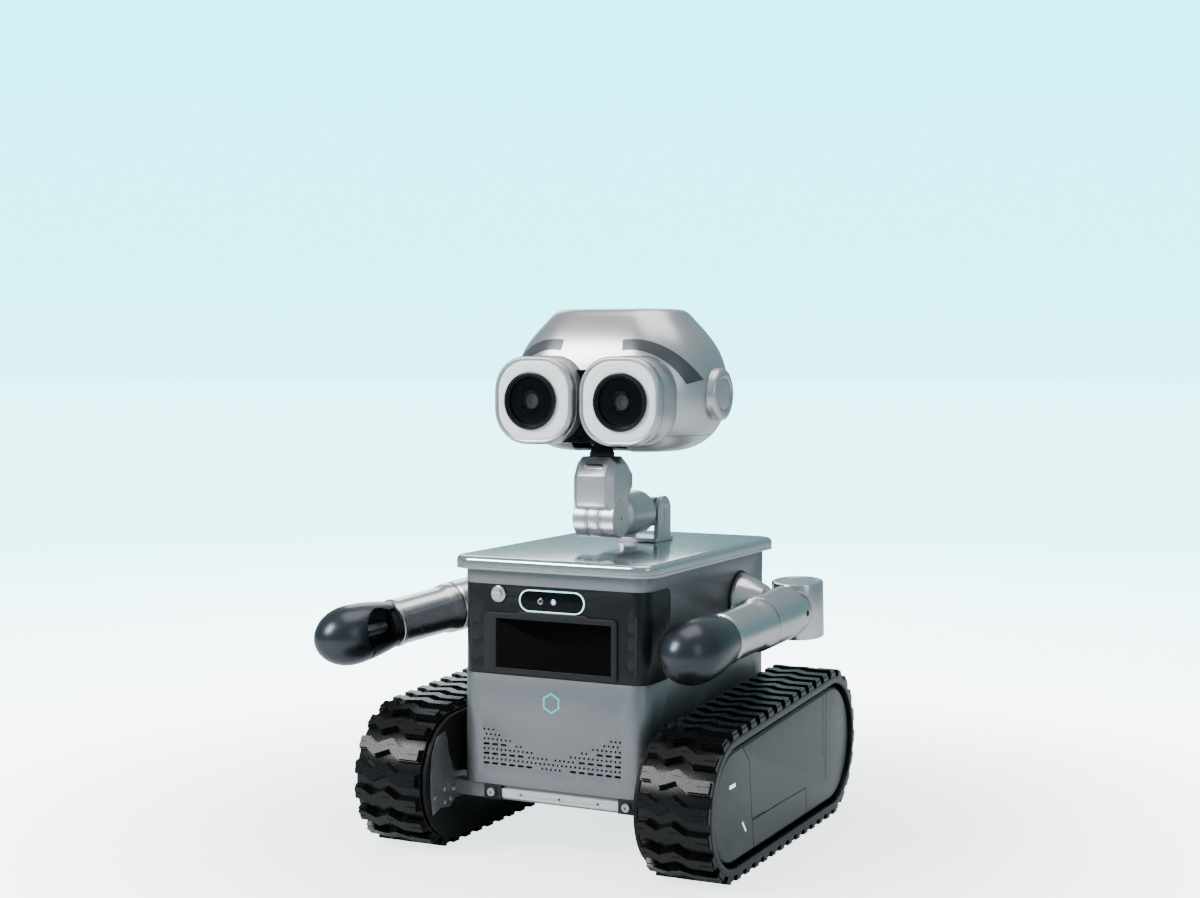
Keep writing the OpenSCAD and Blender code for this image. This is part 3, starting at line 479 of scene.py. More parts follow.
class Effects:
    """Shader node groups shared by the finishes, each built once."""

    built: dict[str, bpy.types.NodeTree] = {}

    @classmethod
    def group(cls, name: str, inputs: dict[str, float], outputs: Sequence[str]) -> Web:
        """An empty node group with named sockets for numbers.

        Args:
            name: The group's name.
            inputs: Name and default of each number that goes in.
            outputs: Name of each number that comes out.

        Returns:
            The new group with its input and output nodes.
        """
        tree = bpy.data.node_groups.new(name, "ShaderNodeTree")
        for label, value in inputs.items():
            socket = tree.interface.new_socket(label, in_out="INPUT", socket_type="NodeSocketFloat")
            socket.default_value = value
        for label in outputs:
            tree.interface.new_socket(label, in_out="OUTPUT", socket_type="NodeSocketFloat")
        tree.nodes.new("NodeGroupInput").name = "in"
        tree.nodes.new("NodeGroupOutput").name = "out"
        cls.built[name] = tree
        return Web(tree)

    @classmethod
    def grain(cls) -> bpy.types.NodeTree:
        """Fine grain and broad cloudiness as two masks."""
        if "fine_grain" in cls.built:
            return cls.built["fine_grain"]
        web = cls.group("fine_grain", {"Fine Scale": 900.0, "Broad Scale": 9.0, "Stretch": 1.0},
                        ("Fine", "Broad"))
        source, result = (web.tree.nodes[end] for end in ("in", "out"))
        spot = web.add("TexCoord").outputs["Object"]
        stretch = web.add("CombineXYZ", {0: source.outputs["Stretch"], 1: 1.0, 2: 1.0})
        scaled = web.add("VectorMath", {0: spot, 1: stretch.outputs[0]}, operation="MULTIPLY")
        for label, detail in (("Fine", 2.0), ("Broad", 4.0)):
            noise = web.add("TexNoise", {"Detail": detail, "Scale": source.outputs[label + " Scale"],
                                         "Vector": scaled.outputs[0]})
            web.feed(result, {label: noise.outputs["Fac"]})
        return web.tree

    @classmethod
    def scuffs(cls) -> bpy.types.NodeTree:
        """Sparse short scuffs and dust specks as one mask."""
        if "scuffs" in cls.built:
            return cls.built["scuffs"]
        web = cls.group("scuffs", {"Scale": 30.0, "Amount": 0.5}, ("Mask",))
        source, result = (web.tree.nodes[end] for end in ("in", "out"))
        noise = web.add("TexNoise", {"Detail": 8.0, "Roughness": 0.75, "Scale": source.outputs["Scale"],
                                     "Vector": web.add("TexCoord").outputs["Object"]})
        sparse = web.add("MapRange", {"From Min": 0.55, "From Max": 0.8, "Value": noise.outputs["Fac"]})
        scaled = web.add("Math", {0: sparse.outputs[0], 1: source.outputs["Amount"]}, operation="MULTIPLY")
        web.feed(result, {"Mask": scaled.outputs[0]})
        return web.tree


@dataclass(frozen=True)
class Finish:
    """One surface finish.

    Attributes:
        name: The material's name.
        color: Base colour.
        second: Colour that the broad cloudiness drifts towards.
        metallic: Metallic value.
        rough: Mean roughness.
        rough_drift: How far the roughness drifts with the grain.
        fine_scale: Scale of the fine grain.
        broad_scale: Scale of the broad cloudiness.
        stretch: Squeeze of the grain along X, which turns it into brushed lines.
        bump: Strength of the grain's relief.
        scuff: How much the scuffs lighten the surface.
        glow: Strength of its own light.
        specular: Strength of the mirror-like part of a surface that isn't metal.
    """

    name: str
    color: tuple[float, float, float]
    second: tuple[float, float, float] | None = None
    metallic: float = 0.0
    rough: float = 0.4
    rough_drift: float = 0.08
    fine_scale: float = 900.0
    broad_scale: float = 9.0
    stretch: float = 1.0
    bump: float = 0.04
    scuff: float = 0.0
    glow: float = 0.0
    specular: float = 0.5

    def material(self) -> bpy.types.Material:
        """The finish as a procedural material, built the first time that it is asked for."""
        known = bpy.data.materials.get("finish_" + self.name)
        if known:
            return known
        made = bpy.data.materials.new("finish_" + self.name)
        made.use_nodes = True
        web = Web(made.node_tree)
        grain = web.add("Group", node_tree=Effects.grain())
        web.feed(grain, {"Fine Scale": self.fine_scale, "Broad Scale": self.broad_scale,
                         "Stretch": self.stretch})
        fine, broad = grain.outputs["Fine"], grain.outputs["Broad"]
        scuffs = web.add("Group", node_tree=Effects.scuffs())
        web.feed(scuffs, {"Amount": self.scuff})
        second = self.second or tuple(0.88 * c for c in self.color)
        blend = web.add("Mix", {"A": (*self.color, 1), "B": (*second, 1), "Factor": broad}, data_type="RGBA")
        pale = (*(min(1.0, 0.15 + 1.25 * c) for c in self.color), 1)
        worn = web.add("Mix", {"B": pale, "A": blend.outputs["Result"], "Factor": scuffs.outputs["Mask"]},
                       data_type="RGBA")
        rough = web.add("MapRange", {"From Min": 0.3, "From Max": 0.7, "Value": fine,
                                     "To Min": max(0.02, self.rough - self.rough_drift),
                                     "To Max": self.rough + self.rough_drift})
        relief = web.add("Bump", {"Strength": self.bump, "Distance": 0.2 * MM, "Height": fine})
        web.feed(made.node_tree.nodes["Principled BSDF"], {"Metallic": self.metallic,
                                                           "Specular IOR Level": self.specular,
                                                           "Base Color": worn.outputs["Result"],
                                                           "Roughness": rough.outputs[0],
                                                           "Normal": relief.outputs[0],
                                                           "Emission Color": (*self.color, 1),
                                                           "Emission Strength": self.glow})
        return made


class Finishes:
    """Every finish of the robot, named as a maker would."""

    body = Finish("body_paint", (0.205, 0.21, 0.225), (0.18, 0.185, 0.20), 0.75, 0.38, 0.05, 1400, 6,
                  bump=0.05)
    lid = Finish("lid_silver", (0.50, 0.53, 0.55), (0.46, 0.49, 0.51), 0.95, 0.14, 0.03, 700, 5, bump=0.01)
    silver = Finish("satin_silver", (0.47, 0.47, 0.485), (0.42, 0.42, 0.435), 0.9, 0.34, 0.05, 1500, 8,
                    bump=0.05)
    head = Finish("head_silver", (0.50, 0.50, 0.52), (0.45, 0.455, 0.475), 0.9, 0.33, 0.05, 1600, 7,
                  bump=0.05)
    arm = Finish("arm_silver", (0.55, 0.54, 0.56), (0.50, 0.49, 0.51), 1.0, 0.24, 0.05, 1500, 8, bump=0.05)
    rail = Finish("bright_aluminium", (0.62, 0.62, 0.62), None, 0.95, 0.3, 0.08, 300, 12, 0.08, bump=0.1)
    bracket = Finish("bracket_black", (0.012, 0.012, 0.014), None, 0.0, 0.5, 0.08, 600, 20, bump=0.15,
                     scuff=0.05, specular=0.25)
    steel = Finish("bolt_steel", (0.42, 0.42, 0.42), None, 0.95, 0.32, 0.1, 500, 30, bump=0.1)
    button = Finish("button_steel", (0.62, 0.61, 0.59), None, 0.95, 0.26, 0.08, 420, 30, 0.1, bump=0.08)
    fascia = Finish("fascia_black", (0.0065, 0.007, 0.0085), (0.009, 0.0095, 0.011), 0.0, 0.34, 0.05, 900, 10,
                    bump=0.05, specular=0.2)
    surround = Finish("surround_black", (0.010, 0.0105, 0.012), None, 0.0, 0.42, 0.06, 800, 12, bump=0.1,
                      specular=0.25)
    display = Finish("display_gloss", (0.0008, 0.0008, 0.001), None, 0.0, 0.16, 0.01, 500, 6, bump=0.0,
                     specular=0.03)
    window = Finish("window_gloss", (0.003, 0.004, 0.006), None, 0.0, 0.14, 0.02, 500, 6, bump=0.0,
                    specular=0.08)
    glow = Finish("window_light", (0.50, 0.90, 1.0), None, 0.0, 0.4, 0.05, 500, 20, bump=0.0, glow=1.5)
    mark = Finish("chest_mark", (0.05, 0.60, 0.62), (0.04, 0.54, 0.57), 0.0, 0.4, 0.05, 600, 20, bump=0.02)
    rubber = Finish("track_rubber", (0.0025, 0.0026, 0.0032), (0.004, 0.0041, 0.0048), 0.0, 0.27, 0.07, 700,
                    16, bump=0.2, scuff=0.008, specular=0.22)
    frame = Finish("frame_metal", (0.16, 0.165, 0.175), (0.13, 0.135, 0.145), 0.7, 0.42, 0.08, 900, 9,
                   bump=0.12)
    plate = Finish("plate_dark", (0.006, 0.0062, 0.007), None, 0.0, 0.55, 0.08, 700, 14, bump=0.1,
                   specular=0.15)
    wheel = Finish("wheel_dark", (0.008, 0.008, 0.0095), None, 0.0, 0.5, 0.08, 500, 20, bump=0.2,
                   specular=0.25)
    cover = Finish("cover_slate", (0.013, 0.017, 0.023), (0.016, 0.021, 0.028), 0.0, 0.26, 0.04, 1200, 7,
                   bump=0.04, specular=0.32)
    hand = Finish("hand_gunmetal", (0.052, 0.056, 0.067), (0.044, 0.048, 0.058), 0.85, 0.3, 0.05, 1300, 9,
                  bump=0.05)
    wedge = Finish("finger_wedge", (0.055, 0.06, 0.072), None, 0.5, 0.3, 0.06, 900, 14, bump=0.06)
    hand_inner = Finish("hand_lining", (0.010, 0.0105, 0.013), None, 0.2, 0.42, 0.08, 600, 20, bump=0.1,
                        specular=0.3)
    eye = Finish("eye_white", (0.93, 0.94, 0.96), (0.90, 0.915, 0.94), 0.0, 0.36, 0.05, 1300, 9, bump=0.04)
    lens = Finish("lens_black", (0.004, 0.0042, 0.005), None, 0.0, 0.2, 0.05, 700, 12, bump=0.03,
                  specular=0.35)
    iris = Finish("lens_inner", (0.0015, 0.0016, 0.002), None, 0.0, 0.4, 0.06, 500, 12, bump=0.02,
                  specular=0.08)
    camera = Finish("motor_metal", (0.045, 0.048, 0.055), None, 0.4, 0.34, 0.06, 500, 12, bump=0.05,
                    specular=0.3)
    glass = Finish("lens_glass", (0.0012, 0.0014, 0.0022), None, 0.0, 0.13, 0.01, 500, 6, bump=0.0,
                   specular=0.16)
    swivel = Finish("swivel_rubber", (0.005, 0.005, 0.006), None, 0.0, 0.42, 0.08, 700, 16, bump=0.2,
                    specular=0.3)
    brow = Finish("brow_grey", (0.075, 0.078, 0.088), (0.062, 0.065, 0.074), 0.4, 0.34, 0.05, 1400, 9,
                  bump=0.05)
    battery = Finish("battery_slate", (0.06, 0.065, 0.08), None, 0.0, 0.5, 0.08, 400, 9, bump=0.1)
    board = Finish("board_green", (0.02, 0.13, 0.06), None, 0.0, 0.35, 0.08, 900, 30, bump=0.1)
    speaker = Finish("speaker_black", (0.004, 0.004, 0.0045), None, 0.0, 0.6, 0.1, 500, 20, bump=0.2,
                     specular=0.15)


def dress(piece: Piece, finish: Finish) -> Piece:
    """Gives a new piece its finish.

    Args:
        piece: The piece to dress.
        finish: Its finish.

    Returns:
        The same piece.
    """
    piece.data.materials.clear()
    piece.data.materials.append(finish.material())
    return piece


def place(piece: Piece, name: str, finish: Finish, body: str, nodes: Sequence[str] = (),
          angle: float = 35.0) -> Piece:
    """Finishes a piece, dresses it and sets it on its body.

    Args:
        piece: The mesh to place.
        name: Its name.
        finish: Its finish.
        body: The body that it rides on.
        nodes: The CAD nodes that it stands for.
        angle: Edges sharper than this, in degrees, stay sharp.

    Returns:
        The same piece.
    """
    Bench.settle(piece, name, angle)
    dress(piece, finish)
    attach(piece, body)
    if nodes:
        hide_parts(*nodes)
    LOG.info("%s on %s: %d faces", name, body, len(piece.data.polygons))
    return piece


def rounded(node: str, name: str, finish: Finish, body: str, width: float, segments: int = 2) -> None:
    """Places a CAD node's copy with its hard edges rounded.

    Args:
        node: The CAD node that it stands for.
        name: The piece's name.
        finish: Its finish.
        body: The body that it rides on.
        width: Radius of the rounded edges.
        segments: Steps round each edge.
    """
    place(Bench.from_node(node, width, segments), name, finish, body, [node])


def screw(centre: Vector, axis: Vector, radius: float, height: float) -> Piece:
    """A cap screw's head with a hexagon socket.

    Args:
        centre: Middle of the head's seat.
        axis: The way the head looks.
        radius: Radius of the head.
        height: Height of the head.

    Returns:
        The new piece.
    """
    edge = 0.12 * radius
    head = Bench.turn([(0, 0), (0, radius), (height - edge, radius), (height, radius - edge), (height, 0)],
                      centre, axis, 24)
    tool = Bench.turn([(0.35 * height, 0), (0.35 * height, 0.5 * radius), (1.5 * height, 0.5 * radius),
                       (1.5 * height, 0)], centre, axis, 6)
    Bench.cut(head, tool)
    return head


# ---------------------------------------------------------------- body


@dataclass
class Body:
    """The painted body with its lid, fascia, controls and chassis.

    Attributes:
        lid_corner: Radius of the lid's upright corners.
        lid_lip: Height of the thin lip under the lid's rounded edge.
        mark_radius: Radius of the chest mark's hexagon.
        mark_height: Height of the chest mark above the ground.
        window_rim: Width of the light round the sensor window.
    """

    lid_corner: float = 30 * MM
    lid_lip: float = 3.2 * MM
    mark_radius: float = 14 * MM
    mark_height: float = 206.8 * MM
    window_rim: float = 1.5 * MM

    def shell(self) -> None:
        """The body's painted shell and the plates under it."""
        rounded("body_shell", "body_housing", Finishes.body, "chassis", 1.0 * MM)
        rounded("cross_beams", "beams", Finishes.body, "chassis", 1.2 * MM)
        rounded("front_rail", "rail", Finishes.rail, "chassis", 0.8 * MM)
        rounded("rail_brackets", "brackets", Finishes.bracket, "chassis", 1.0 * MM)
        rounded("chassis_bolts", "bolts", Finishes.steel, "chassis", 0.5 * MM)

    def lid(self) -> None:
        """The reflective lid: a thin lip below, a waist, and a broad rounded edge above."""
        low, high = corners("lid")
        size, top = high - low, high.z - low.z
        base = Vector((0, 0, low.z))
        piece = Bench.plate(base, size.x, size.y, self.lid_corner, 14, Z)
        step, slant, waist = 1.0 * MM, 0.5 * MM, 0.8 * MM
        shrink = (1 - 2 * step / size.x, 1 - 2 * step / size.y, 1)
        grow = (1 / shrink[0], 1 / shrink[1], 1)
        Bench.pull(Z * self.lid_lip)
        Bench.pull(Z * slant, shrink, base)
        Bench.pull(Z * waist)
        Bench.pull(Z * slant, grow, base)
        Bench.pull(Z * (top - self.lid_lip - 2 * slant - waist))
        Bench.close()
        Bench.pick_faces(piece, lambda c, n: n.z > 0.9 and c.z > high.z - 0.001)
        bpy.ops.mesh.region_to_loop()
        bpy.ops.mesh.bevel(offset=7 * MM, segments=7, affect="EDGES")
        Bench.close()
        place(piece, "lid_cover", Finishes.lid, "chassis", ["lid"], angle=30)

    def fascia(self) -> None:
        """The black wrap-round fascia with the screen's surround and the display."""
        rounded("fascia", "fascia_cover", Finishes.fascia, "chassis", 0.9 * MM)
        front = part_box("body_shell")[0][1]
        pads = [Bench.box(Vector((sign * 113 * MM, front + 1.55 * MM, 289 * MM)), Vector((18, 0.7, 74)) * MM)
                for sign in (-1, 1)]
        place(Bench.join(pads), "notch_pads", Finishes.surround, "chassis")
        rounded("screen_surround", "screen_frame", Finishes.surround, "chassis", 1.2 * MM, 3)
        low, high = corners("display_panel")
        centre = front_centre("display_panel")
        glass = Bench.slab(centre, high.x - low.x, high.z - low.z, 2 * MM, high.y - low.y, -Y, 0.5 * MM, 4)
        place(glass, "display_glass", Finishes.display, "chassis", ["display_panel"])

    def sensor_window(self) -> None:
        """The pill-shaped window: a dark front inside a lit rim, with two small lenses."""
        low, high = corners("sensor_window")
        centre = front_centre("sensor_window")
        width, height, depth = high.x - low.x, high.z - low.z, high.y - low.y
        rim = Bench.plate(centre, width, height, 0.499 * height, 14, -Y)
        bpy.ops.mesh.inset(thickness=self.window_rim)
        bpy.ops.mesh.delete(type="FACE")
        Bench.all()
        Bench.pull(Y * 1.4 * MM)
        Bench.close()
        Bench.bevel(rim, 0.4 * MM, 2)
        place(rim, "window_light_rim", Finishes.glow, "chassis")
        inner = Bench.slab(centre + Y * 0.3 * MM, width - 2 * self.window_rim, height - 2 * self.window_rim,
                           0.499 * (height - 2 * self.window_rim), depth - 0.4 * MM, -Y, 0.5 * MM, 14)
        place(inner, "window_front", Finishes.window, "chassis", ["sensor_window"])
        for index, offset in enumerate((-16 * MM, 3 * MM)):
            spot = centre + X * offset
            ring = Bench.turn(path((-1.5, 0), (-1.5, 4), (0.6, 4), (0.8, 3.6), (0.1, 2.6), (0.1, 0)), spot,
                              -Y, 32)
            place(ring, f"window_lens_ring_{index}", Finishes.steel, "chassis")
            dome = Bench.turn(path((-0.5, 2.5), (0.2, 2.4), (0.6, 1.4), (0.75, 0)), spot, -Y, 24)
            place(dome, f"window_lens_{index}", Finishes.glow if index else Finishes.lens, "chassis")

    def button(self) -> None:
        """The metal push button in its bezel."""
        low, high = corners("button_bezel")
        centre = front_centre("button_bezel")
        radius = (high.x - low.x) / 2
        bezel = Bench.turn([*path((0, 6.05), (0, 7.2), (-0.5, 7.6), (-0.5, 9.2), (0, 9.6)),
                            *path((-0.7, -0.3), (-1.8, 0), (-2.4, 0), (-2.4, -3), (-20, -3.6),
                                  around=radius), *path((-20, 6.05), (0, 6.05))], centre, -Y, 64)
        place(bezel, "button_ring", Finishes.button, "chassis", ["button_bezel"])
        low = Vector(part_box("power_button")[0])
        front = Vector((centre.x, low.y, centre.z))
        cap = Bench.turn(path((0, 0), (-0.4, 3.2), (-0.15, 4.4), (-0.3, 5.5), (-0.9, 6), (-12, 6), (-12, 0)),
                         front, -Y, 48)
        place(cap, "button_cap", Finishes.button, "power_button", ["power_button"])

    def chest_mark(self) -> None:
        """A plain hexagon outline on the chest."""
        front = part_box("body_shell")[0][1]
        centre = Vector((0, front + 0.05 * MM, self.mark_height))
        Bench.clear()
        bpy.ops.mesh.primitive_circle_add(vertices=6, radius=self.mark_radius, fill_type="NGON",
                                          location=centre, rotation=(math.pi / 2, 0, 0))
        piece = bpy.context.object
        bpy.ops.object.mode_set(mode="EDIT")
        bpy.ops.mesh.select_mode(type="FACE")
        Bench.all()
        bpy.ops.mesh.inset(thickness=2.6 * MM)
        bpy.ops.mesh.delete(type="FACE")
        Bench.all()
        Bench.pull(-Y * 0.25 * MM)
        place(piece, "chest_mark", Finishes.mark, "chassis")

    def insides(self) -> None:
        """Finishes of the CAD nodes that stay as they are."""
        kept = {"base_plate": Finishes.body, "speakers": Finishes.speaker, "battery_pack": Finishes.battery,
                "control_board": Finishes.board, "drive_motors": Finishes.camera,
                "shoulder_motors": Finishes.camera, "track_axles": Finishes.steel,
                "neck_base_pin": Finishes.steel, "neck_upper_pin": Finishes.steel,
                "left_elbow_pin": Finishes.steel, "right_elbow_pin": Finishes.steel}
        for node, finish in kept.items():
            mesh = frame["nodes"][node].data
            mesh.materials.clear()
            mesh.materials.append(finish.material())

    def build(self) -> None:
        """Builds every piece of the body."""
        self.shell()
        self.lid()
        self.fascia()
        self.sensor_window()
        self.button()
        self.chest_mark()
        self.insides()


# ---------------------------------------------------------------- tracks


@dataclass
class Track:
    """One track: its belt, cover, plate, wheels and two glowing marks, which are painted glints on its cover.

    Attributes:
        side: The side it is on.
        carcass: Thickness of the belt without its lugs.
        rows: Number of lug rows.
        lug_length: Length of a lug along the belt.
        zigzag: Line of a row of lugs: shares of the belt's width from its middle, and shifts along the belt.
    """

    side: Side
    carcass: float = 10 * MM
    rows: int = 42
    lug_length: float = 19 * MM
    zigzag: tuple[tuple[float, float], ...] = (
        (-0.5, -0.004), (-0.36, -0.004), (-0.22, 0.0045), (0.0, -0.0045), (0.18, 0.007), (0.5, 0.007))

    def __post_init__(self) -> None:
        """Reads the track's places and sizes from the CAD nodes."""
        word = self.side.word
        gap = 0.4 * MM
        low, high = corners(f"{word}_belt")
        self.front, self.rear = middle(f"{word}_idler"), middle(f"{word}_sprocket")
        self.front_r = span(f"{word}_idler").y / 2 + self.carcass + gap
        self.rear_r = span(f"{word}_sprocket").y / 2 + self.carcass + gap
        self.inner_x, self.outer_x = sorted((low.x, high.x), key=abs)
        self.lug_height = self.front.z - self.front_r - low.z
        self.run = run = self.rear.y - self.front.y
        self.slope = math.atan2(self.rear.z - self.front.z, run)
        self.top = math.pi / 2 + 2 * self.slope
        self.rear_arc = self.rear_r * (math.pi + 2 * self.slope)
        self.length = 2 * run + self.rear_arc + self.front_r * (math.pi - 2 * self.slope)

    def spot(self, s: float) -> tuple[Vector, float]:
        """Point on the carcass at a distance along the belt, and its outward angle in the YZ plane."""
        s %= self.length
        down = -math.pi / 2
        if s < self.run:
            return self.front + Vector((0, s, -self.front_r)), down
        if s < self.run + self.rear_arc:
            angle = down + (s - self.run) / self.rear_r
            return self.rear + self.away(angle) * self.rear_r, angle
        if s < 2 * self.run + self.rear_arc:
            share = (s - self.run - self.rear_arc) / self.run
            up = self.away(self.top)
            start, end = self.rear + up * self.rear_r, self.front + up * self.front_r
            return start.lerp(end, share), self.top
        angle = self.top + (s - 2 * self.run - self.rear_arc) / self.front_r
        return self.front + self.away(angle) * self.front_r, angle

    @staticmethod
    def away(angle: float) -> Vector:
        """Direction of an angle in the YZ plane."""
        return Vector((0, math.cos(angle), math.sin(angle)))

    def outline(self, inset: float, x: float, count: int = 40) -> list[Vector]:
        """Points round both wheels at a distance inside the carcass.

        Args:
            inset: Distance inside the carcass.
            x: Place of the outline across the robot.
            count: Steps round each wheel.

        Returns:
            The points, once round.
        """
        down = -math.pi / 2
        around = [(self.rear, self.rear_r, down, self.top), (self.front, self.front_r, self.top,
                                                             down + 2 * math.pi)]
        points = []
        for centre, radius, start, end in around:
            for i in range(count + 1):
                angle = start + (end - start) * i / count
                spot = centre + self.away(angle) * (radius - inset)
                points.append(Vector((x, spot.y, spot.z)))
        return points

    def belt(self) -> None:
        """The rubber belt: a hollow carcass with a raised centre guide, and staggered chevron lugs."""
        width = self.outer_x - self.inner_x
        carcass = Bench.loop(self.outline(0, self.inner_x))
        Bench.pull(X * width)
        Bench.face_out()
        Bench.freeze()
        Bench.apply(carcass, "SOLIDIFY", thickness=self.carcass, offset=-1)
        Bench.bevel(carcass, 1.6 * MM, 3, 60)
        row = self.lug_row()
        dice = random.Random(4 + self.side.value)
        parts = [carcass]
        for index in range(self.rows):
            spot, angle = self.spot((index + 0.25) * self.length / self.rows)
            piece = Bench.copy(row, "lugs")
            piece.location = ((self.inner_x + self.outer_x) / 2, spot.y, spot.z)
            piece.rotation_euler = (angle - math.pi / 2 + dice.uniform(-0.006, 0.006), 0, 0)
            parts.append(piece)
        bpy.data.objects.remove(row)
        belt = Bench.join(parts)
        place(belt, f"{self.side.word}_tread", Finishes.rubber, "chassis", [f"{self.side.word}_belt"],
              angle=28)

    def lug_row(self) -> Piece:
        """One moulded row of lugs in a zigzag across the belt, its top towards +Z, its rear towards -Y."""
        wide = abs(self.outer_x - self.inner_x) - 1.4 * MM
        half = self.lug_length / 2
        zigzag = [Vector((share * wide, -shift, -2 * MM)) for share, shift in self.zigzag]
        front = [point + Y * half for point in zigzag]
        rear = [point - Y * half for point in reversed(zigzag)]
        piece = Bench.loop(front + rear)
        Bench.fill()
        Bench.pull(Z * (0.55 * self.lug_height + 2 * MM), (0.99, 0.97, 1))
        bpy.ops.mesh.inset(thickness=1.5 * MM)
        Bench.pull(Z * 0.4 * MM)
        Bench.pull(Z * (0.45 * self.lug_height - 0.4 * MM))
        bpy.ops.mesh.inset(thickness=1.0 * MM)
        Bench.freeze()
        Bench.settle(piece, "lugs", 28)
        for share, long in ((-0.47, 0.16), (0.42, 0.2), (0.02, 0.1)):
            groove = Bench.box(Vector((share * wide, self.groove_shift(share), self.lug_height)),
                               Vector((long * wide, 1.4 * MM, 2.4 * MM)))
            Bench.cut(piece, groove)
        return piece

    def groove_shift(self, share: float) -> float:
        """Place along the belt of the zigzag's middle line at a share of its width."""
        for (a, ya), (b, yb) in zip(self.zigzag, self.zigzag[1:]):
            if a <= share <= b:
                return -(ya + (yb - ya) * (share - a) / (b - a))
        return 0.0

    def cover(self) -> None:
        """The bevelled outer cover with its seam lines."""
        sign = self.side.value
        node = f"{self.side.word}_side_cover"
        low, high = corners(node)
        inner, outer = sorted((low.x, high.x), key=abs)
        cover = Bench.prism(self.outline(self.carcass + 4.5 * MM, inner, 32), X * (outer - inner))
        Bench.turn_out(cover)
        Bench.pick_faces(cover, lambda c, n: n.x * sign > 0.9)
        bpy.ops.mesh.region_to_loop()
        bpy.ops.mesh.bevel(offset=6 * MM, segments=4, affect="EDGES")
        Bench.close()
        for tool in self.seams(outer):
            Bench.cut(cover, tool)
        place(cover, f"{self.side.word}_cover", Finishes.cover, "chassis", [node], angle=25)
        backing = Bench.prism(self.outline(self.carcass + 0.5 * MM, inner - sign * 6 * MM, 24),
                              X * sign * 3 * MM)
        place(backing, f"{self.side.word}_cover_back", Finishes.wheel, "chassis")

    def seams(self, outer: float) -> list[Piece]:
        """Thin cutters for the cover's panel lines: one slanted front line, a stepped hatch, rear lines.

        Args:
            outer: Place of the cover's outer face.

        Returns:
            One cutter for each line.
        """
        deep, wide = 1.2 * MM, 1.3 * MM
        points = [((-174, 166), (-149, 145)), ((-149, 145), (-137, 64)), ((-137, 64), (-130, 26)),
                  ((-137, 66), (70, 63)), ((70, 63), (71, 18)), ((139, 186), (141, 92)),
                  ((152, 186), (153, 60)), ((-137, 64), (-40, 64))]
        lines = [tuple((y * MM, z * MM) for y, z in pair) for pair in points]
        tools = []
        for (ya, za), (yb, zb) in lines:
            length = math.hypot(yb - ya, zb - za)
            tools.append(Bench.box((outer, (ya + yb) / 2, (za + zb) / 2), (2 * deep, length + wide, wide),
                                   (math.atan2(zb - za, yb - ya), 0, 0)))
        return tools

    def lights(self) -> None:
        """Two small glowing marks near the cover's front: painted glints, with the white reflections on the
        cover drawn as lit windows.
        """
        sign = self.side.value
        outer = max((abs(c[0]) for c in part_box(f"{self.side.word}_side_cover"))) * sign
        # Each spot is a painted glint: a small mark in the glowing finish where light reflects off the cover.
        spots = [(-206, 122.5, 20, 5, 0.0), (-165, 62.5, 3.2, 19, -0.75)]
        for index, values in enumerate(spots):
            y, z, long, tall = (v * MM for v in values[:4])
            tilt = values[4]
            window = Bench.box((outer - sign * 0.5 * MM, y, z), (1.6 * MM, long, tall), (-tilt, 0, 0))
            Bench.bevel(window, 0.5 * MM, 2)
            place(window, f"{self.side.word}_light_{index}", Finishes.glow, "chassis")

    def inner_plate(self) -> None:
        """The dark plate on the inner side, with the bright front bracket and its screws."""
        word, sign = self.side.word, self.side.value
        rounded(f"{word}_track_frame", f"{word}_side_plate", Finishes.plate, "chassis", 1.0 * MM)
        face = min(abs(c[0]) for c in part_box(f"{word}_track_frame")) * sign
        outline = [(-272, 110), (-268, 136), (-255, 156), (-236, 161), (-229, 150), (-227, 135), (-212, 104),
                   (-178, 98), (-176, 66), (-208, 66), (-222, 57), (-246, 60), (-266, 54), (-271, 80)]
        bracket = Bench.prism([Vector((face, y * MM, z * MM)) for y, z in outline], -X * sign * 1.6 * MM)
        Bench.bevel(bracket, 0.5 * MM, 2)
        place(bracket, f"{word}_front_bracket", Finishes.frame, "chassis")
        spots = [(-262, 77), (-199, 75), (-214, 80), (-222, 68), (-236, 66), (-238, 84), (-186, 88),
                 (-186, 72)]
        screws = [screw(Vector((face - sign * 1.6 * MM, y * MM, z * MM)), -X * sign, 3.4 * MM, 2.2 * MM)
                  for y, z in spots]
        place(Bench.join(screws), f"{word}_bracket_screws", Finishes.steel, "chassis")

    def wheels(self) -> None:
        """The wheels inside the belt."""
        word = self.side.word
        for part in ("sprocket", "idler", "road_wheel_front", "road_wheel_rear"):
            node = f"{word}_{part}"
            rounded(node, f"{node}_rim", Finishes.wheel, node, 1.2 * MM)

    def build(self) -> None:
        """Builds every piece of the track."""
        self.belt()
        self.cover()
        self.lights()
        self.inner_plate()
        self.wheels()


# ---------------------------------------------------------------- neck


